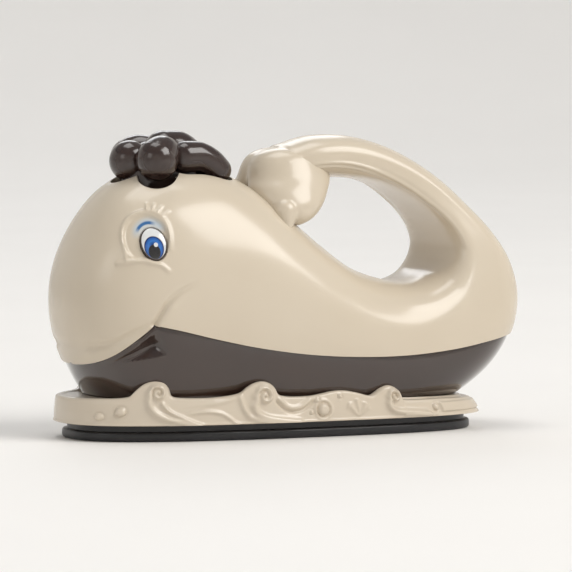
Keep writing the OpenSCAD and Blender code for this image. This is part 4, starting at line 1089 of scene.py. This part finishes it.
def shell_sheet(name, side):
    """One half of the whale's skin above the parting line, with the face moulded in."""
    tail_end = last_section + np.array([0.2, 0.4, 0.6, 0.8, 0.92, 1])
    u = np.concatenate([[-1, -0.5], ring_places(0, last_section, 8), tail_end])
    ends = parting_turn(np.clip(u, 0, last_section))
    turns = even_round(u, np.zeros(len(u)), ends, round_columns + 1)

    def place(a, b):
        i, j = a * (len(u) - 1), b * round_columns
        return skin(np.interp(i, np.arange(len(u)), u), side * table_at(turns, i, j))

    piece = laid(name, len(u) - 1, round_columns, place)
    # Finer faces round the eye, at the mouth and along the tail's rim
    centre = face_middles(piece) * [1, -side, 1]
    e = np.abs(eye_place(centre) - [0, 1, 0])
    fine = np.all(e < [14, 15, 7], axis=1)
    fine |= (centre[:, 0] < -43) & (centre[:, 2] < 52) & (centre[:, 0] > -74)
    fine |= felt(centre, tail_path([74, 72, 68, 59, 53, 52, 53, 54]), 4) > 0.4
    finer(piece, fine, 3)
    lay(piece, place)
    merged(turned_out(piece, (0, 0, 50)))
    p, n = vertex_places(piece), vertex_normals(piece)
    seam = np.abs(p[:, 1]) < 0.01
    n[seam, 1] = 0
    p += n * face_relief(np.stack([p[:, 0], -np.abs(p[:, 1]), p[:, 2]], axis=1))[:, None]
    p[seam, 1] = 0
    put_vertices(piece, p)
    return piece


def shell_posts(side):
    """Screw posts across the shell and brackets for the button's guide, kept inside the skin."""
    wall, taper = side * body_w / 2, 0.8
    core = 3.55 if side > 0 else 2.7
    near, far = (core, core + taper)[::side]
    piece = join(*(rod((x, min(0, wall), z), near, body_w / 2, 24, "Y", far) for x, z in post_places))
    arm_half, arm_low, boss_low, top = 1.6, 58.5, 60, 69
    for x, y in guide_places:
        if y * side > 0:
            arm = block((x - arm_half, min(y, wall), arm_low), (x + arm_half, max(y, wall), top))
            join(piece, join(arm, rod((x, y, boss_low), boss_r, top - boss_low, 24)))
    return join(piece, whale_form("core", shell_wall / 2), how="INTERSECT")


def body_shell(name, side):
    piece = walled(shell_sheet(name, side), shell_wall)
    # The edge along the middle lies flat, and nothing crosses it
    p, seam_reach = vertex_places(piece), 0.25
    p[np.abs(p[:, 1]) < seam_reach, 1] = 0
    p[:, 1] = side * np.maximum(side * p[:, 1], 0)
    put_vertices(piece, p)
    join(piece, flukes(side), shell_posts(side))
    cut(piece, curl_room())
    # The right shell has wells for the screws' heads, and the left one takes their threads
    well_y, guide_low, bore_l, bore_sides = 6, 61, 9, 20
    for x, z in post_places:
        if side > 0:
            cut(piece, rod((x, -overrun, z), screw_r, bore_l, bore_sides, "Y"))
            cut(piece, rod((x, well_y, z), head_r, body_w / 2, axis="Y"))
        else:
            cut(piece, rod((x, -bore_l, z), screw_r, bore_l + overrun, bore_sides, "Y"))
    for x, y in guide_places:
        cut(piece, rod((x, y, guide_low), screw_r, bore_l, bore_sides))
    return smooth(piece, 38)


def vectors(tree, operation, *values):
    node = added(tree, "VectorMath", dict(enumerate(values)), operation=operation)
    return node.outputs["Value" if operation in ("DOT_PRODUCT", "LENGTH") else "Vector"]


def eye_mapped(tree):
    """A place in the eye's own frame, in millimetres, alike on both sides of the head."""
    x, y, z = split(tree, object_place(tree))
    left = maths(tree, "MULTIPLY", maths(tree, "ABSOLUTE", y), -1)
    place = added(tree, "CombineXYZ", {"X": x, "Y": left, "Z": z}).outputs["Vector"]
    away = vectors(tree, "SUBTRACT", place, tuple(eye_at * mm))
    return [vectors(tree, "DOT_PRODUCT", away, tuple(way / mm)) for way in (eye_forth, eye_rise, eye_out)]


def oval(tree, along, up, middle, size):
    """Distance from an oval's middle, 1 on its edge, and the place in it."""
    place = added(tree, "CombineXYZ", {"X": along, "Y": up}).outputs["Vector"]
    share = vectors(tree, "DIVIDE", vectors(tree, "SUBTRACT", place, (*middle, 0)), (*size, 1))
    return vectors(tree, "LENGTH", share), share


bare, full = (0, 0, 0, 1), (1, 1, 1, 1)


def painted_cream():
    """The shells' cream plastic, with the blue shade sprayed over the upper lid."""
    material = plastic("cream_shell", (210, 198, 179), (204, 191, 171), coat=0.15, **cream_skin)
    tree = material.node_tree
    along, up, out = eye_mapped(tree)
    reach, share = oval(tree, along, up, (0.2, 0.5), (6.8, 9.0))
    x, y, _ = split(tree, share)
    turn = {"Value": maths(tree, "ARCTAN2", y, x), "From Max": math.pi}
    span = added(tree, "MapRange", turn).outputs["Result"]
    wash = ramp(tree, reach, [
        (0.56, srgb(208, 209, 206)), (0.74, srgb(186, 196, 204)), (0.95, srgb(198, 197, 190)),
    ])
    line = ramp(tree, reach, [(0.61, bare), (0.65, full), (0.73, full), (0.78, bare)])
    arc = ramp(tree, span, [(0.28, bare), (0.40, full), (0.68, full), (0.78, bare)])
    shade = over(tree, wash, srgb(62, 108, 160), maths(tree, "MULTIPLY", line, arc))
    band = ramp(tree, reach, [(0.0, full), (0.80, full), (0.98, bare)])
    fan = ramp(tree, span, [(0.06, bare), (0.20, full), (0.74, full), (0.90, bare)])
    near_skin = maths(tree, "COMPARE", out, 0, 8)
    mask = maths(tree, "MULTIPLY", maths(tree, "MULTIPLY", band, fan), near_skin)
    cream = tree.nodes["Group"].outputs["Color"]
    fed(tree.nodes["Principled BSDF"], {"Base Color": over(tree, cream, shade, mask)})
    return material


cream_shell = painted_cream()
dressed(body_shell("shell_left", -1), cream_shell, "iron", "cream_plastic", "body_left")
dressed(body_shell("shell_right", 1), cream_shell, "iron", "cream_plastic", "body_right")

# Eyes: domed white plastic buttons pressed into pockets of the shells, with the iris, pupil and
# outline printed on them under a clear gloss.
eye_sink, eye_lift, eye_dome = 1.2, 0.75, 12.98


def eye_button(name, side):
    rings = np.concatenate([np.linspace(0, 0.94, 16), [0.975, 1.0, 1.0]])
    last = len(rings) - 1

    def place(a, b):
        k, turn = np.round(a * last).astype(int), b * 2 * np.pi
        x, y = rings[k] * eye_half_w * np.cos(turn), rings[k] * eye_half_h * np.sin(turn)
        z = eye_lift - eye_dome + np.sqrt(eye_dome**2 - x**2 - y**2)
        z = np.select([k == last, k == last - 1], [-eye_sink, z - 0.12], z)
        x, y = x + eye_shift[0], y + eye_shift[1]
        p = eye_at + x[:, None] * eye_forth + y[:, None] * eye_rise + z[:, None] * eye_out
        return p * [1, -side, 1]

    return smooth(closed(laid(name, last, 64, place)), 40)


def printed_eye():
    """White with a brown outline, a blue iris with fine specks, a black pupil and a white glint."""
    material, tree, shader = blank("eye_print")
    along, up, _ = eye_mapped(tree)
    black, white, brown = srgb(14, 13, 18), srgb(222, 224, 224), srgb(58, 44, 38)
    rim, _ = oval(tree, along, up, eye_shift, (eye_half_w, eye_half_h))
    colour = ramp(tree, rim, [(0.90, white), (0.93, brown)])
    inside = ramp(tree, rim, [(0.90, full), (0.93, bare)])
    iris, _ = oval(tree, along, up, (0.15, -2.2), (3.15, 3.9))
    specked = maths(tree, "MULTIPLY_ADD", noise(tree, 900), 0.08, iris)
    blue = ramp(tree, specked, [
        (0.3, srgb(24, 56, 120)), (0.62, srgb(52, 118, 196)), (0.86, srgb(38, 88, 164)),
        (0.97, srgb(20, 38, 84)),
    ])
    pupil, _ = oval(tree, along, up, (-0.1, -3.5), (1.95, 2.4))
    glint, _ = oval(tree, along, up, (0.95, -1.5), (0.7, 0.75))
    for reach, start, paint in [(iris, 0.95, blue), (pupil, 0.92, black), (glint, 0.92, white)]:
        mask = ramp(tree, reach, [(start, full), (1.0, bare)])
        colour = over(tree, colour, paint, maths(tree, "MULTIPLY", mask, inside))
    fed(shader, {"Base Color": colour, "Roughness": 0.12, "Coat Weight": 0.6, "Coat Roughness": 0.05})
    return material


eye_print = printed_eye()
dressed(eye_button("eye_button_left", -1), eye_print, "iron", "eye_print", "eye_left")
dressed(eye_button("eye_button_right", 1), eye_print, "iron", "eye_print", "eye_right")

# Tuft: a glossy brown cluster of curls on the head, moulded in one piece. It is the push button:
# its plunger is pressed into its underside, and its hidden rim slides in the shells' opening.
rim_h, rim_room, rim_wall = 8.8, 7.9, 1.8


def sausage(name, rows, sides=48):
    """A round curl along a smooth path, with domed ends."""
    path = curve(rows, 12)
    way = np.gradient(path[:, :3], axis=0)
    way /= np.linalg.norm(way, axis=1)[:, None]
    dome = np.linspace(0, np.pi / 2, 13)
    first, last = path[0], path[-1]
    middle = np.concatenate([
        first[:3] - first[3] * np.cos(dome)[:, None] * way[0], path[1:-1, :3],
        last[:3] + last[3] * np.sin(dome)[:, None] * way[-1],
    ])
    reach = np.concatenate([first[3] * np.sin(dome), path[1:-1, 3], last[3] * np.cos(dome)])[:, None]
    along = np.concatenate([[way[0]] * len(dome), way[1:-1], [way[-1]] * len(dome)])
    across = np.cross(along, [0, 0, 1])
    across /= np.linalg.norm(across, axis=1)[:, None]
    upward = np.cross(across, along)

    def place(a, b):
        k, turn = np.round(a * (len(middle) - 1)).astype(int), (b * 2 * np.pi)[:, None]
        return middle[k] + reach[k] * (np.cos(turn) * across[k] + np.sin(turn) * upward[k])

    return closed(laid(name, len(middle) - 1, sides, place))


def tuft_curls():
    piece = rim_plan(tuft_base, tuft_base + rim_h, 0)
    piece.name = piece.data.name = "tuft_curls"
    for curl in curls:
        join(piece, ball(*curl[0], 64) if len(curl) == 1 else sausage("curl", curl))
    cut(piece, rim_plan(tuft_base - overrun, tuft_base + rim_room, -rim_wall))
    # The seat of the plunger, with a wider mouth for the spring
    seat_level, seat_r, seat_h, spring_r = 3.52, 4.8, 6, 5.5
    plunger_r, plunger_low, plunger_top = 3.05, 2, 11.52
    join(piece, rod((tuft_x, 0, tuft_base + seat_level), seat_r, seat_h))
    cut(piece, rod((tuft_x, 0, tuft_base + plunger_low), plunger_r, plunger_top - plunger_low))
    cut(piece, rod((tuft_x, 0, tuft_base - overrun), spring_r, seat_level + overrun))
    return smooth(piece, 40)


tuft_brown = plastic(
    "tuft_brown", (58, 43, 37), (48, 34, 30), roughness=0.14, patch=40.0, grain=2400.0, bump=0.02, coat=0.4,
)
dressed(tuft_curls(), tuft_brown, "tuft_button", "tuft_brown", "tuft")

# Floor and light: a pale round studio sweep, a broad soft lamp before the right end, one above and
# weaker ones at the left and behind, and a long lens that looks at the left side from a little above.


def studio_floor():
    # The sweep's profile from its middle outwards, in metres
    profile = [(0, 0), (1.0, 0), (2.0, 0), (2.6, 0.04), (3.0, 0.2), (3.3, 0.5), (3.4, 1.0), (3.4, 2.2)]
    bend = curve(np.array(profile) / mm, 4)

    def place(a, b):
        turn = 2 * np.pi * a
        r, z = row_of(bend, b).T
        return np.stack([r * np.cos(turn), r * np.sin(turn), z - 0.05], axis=1)

    floor = merged(laid("floor", 96, len(bend) - 1, place))
    turned_out(smooth(floor, 60), (0, 0, -50 / mm))
    material, tree, shader = blank("pale_floor")
    tone = over(tree, srgb(240, 238, 235), srgb(236, 234, 231), noise(tree, 6))
    fed(shader, {"Base Color": tone, "Roughness": 0.7, "Specular IOR Level": 0.2})
    # Seen from below, the floor is clear
    below = added(tree, "NewGeometry").outputs["Backfacing"]
    clear = added(tree, "BsdfTransparent").outputs["BSDF"]
    seen = added(tree, "MixShader", {"Fac": below, 1: shader.outputs["BSDF"], 2: clear}).outputs["Shader"]
    fed(tree.nodes["Material Output"], {"Surface": seen})
    coated(floor, material)


def stood(name, data, at, target):
    """A lamp or camera at a place, in metres, that looks at a target."""
    holder = bpy.data.objects.new(name, data)
    bpy.context.scene.collection.objects.link(holder)
    holder.location = at
    x, y, z = (b - a for a, b in zip(holder.location, target))
    holder.rotation_euler = (math.atan2(math.hypot(x, y), -z), 0, math.atan2(-x, y))
    return holder


studio_floor()
world = bpy.data.worlds.new("studio")
bpy.context.scene.world = world
world.use_nodes = True
fed(world.node_tree.nodes["Background"], {"Color": (0.95, 0.97, 1.0, 1), "Strength": 0.32})
for name, at, size, power, colour in [
    ("key", (1.3, -1.7, 2.1), 1.7, 54.0, (1.0, 0.98, 0.95)),
    ("top", (-0.1, 0.4, 3.0), 1.6, 24.0, (1.0, 0.99, 0.97)),
    ("left", (-2.4, -1.0, 1.2), 1.0, 3.5, (1.0, 0.99, 0.98)),
    ("rear", (0.8, 2.4, 1.6), 1.2, 10.0, (0.95, 0.97, 1.0)),
]:
    lamp = bpy.data.lights.new(name, "AREA")
    lamp.shape = "SQUARE"
    lamp.size = size
    lamp.energy = power
    lamp.color = colour
    stood(name, lamp, at, (0, 0, 0.045))
lens = bpy.data.cameras.new("camera")
lens.lens = 278
lens.sensor_width = 36
lens.clip_end = 20
bpy.context.scene.camera = stood("camera", lens, (-0.6069, -1.3022, 0.1254), (0, 0, 0.047))
bpy.context.scene.view_settings.view_transform = "Standard"
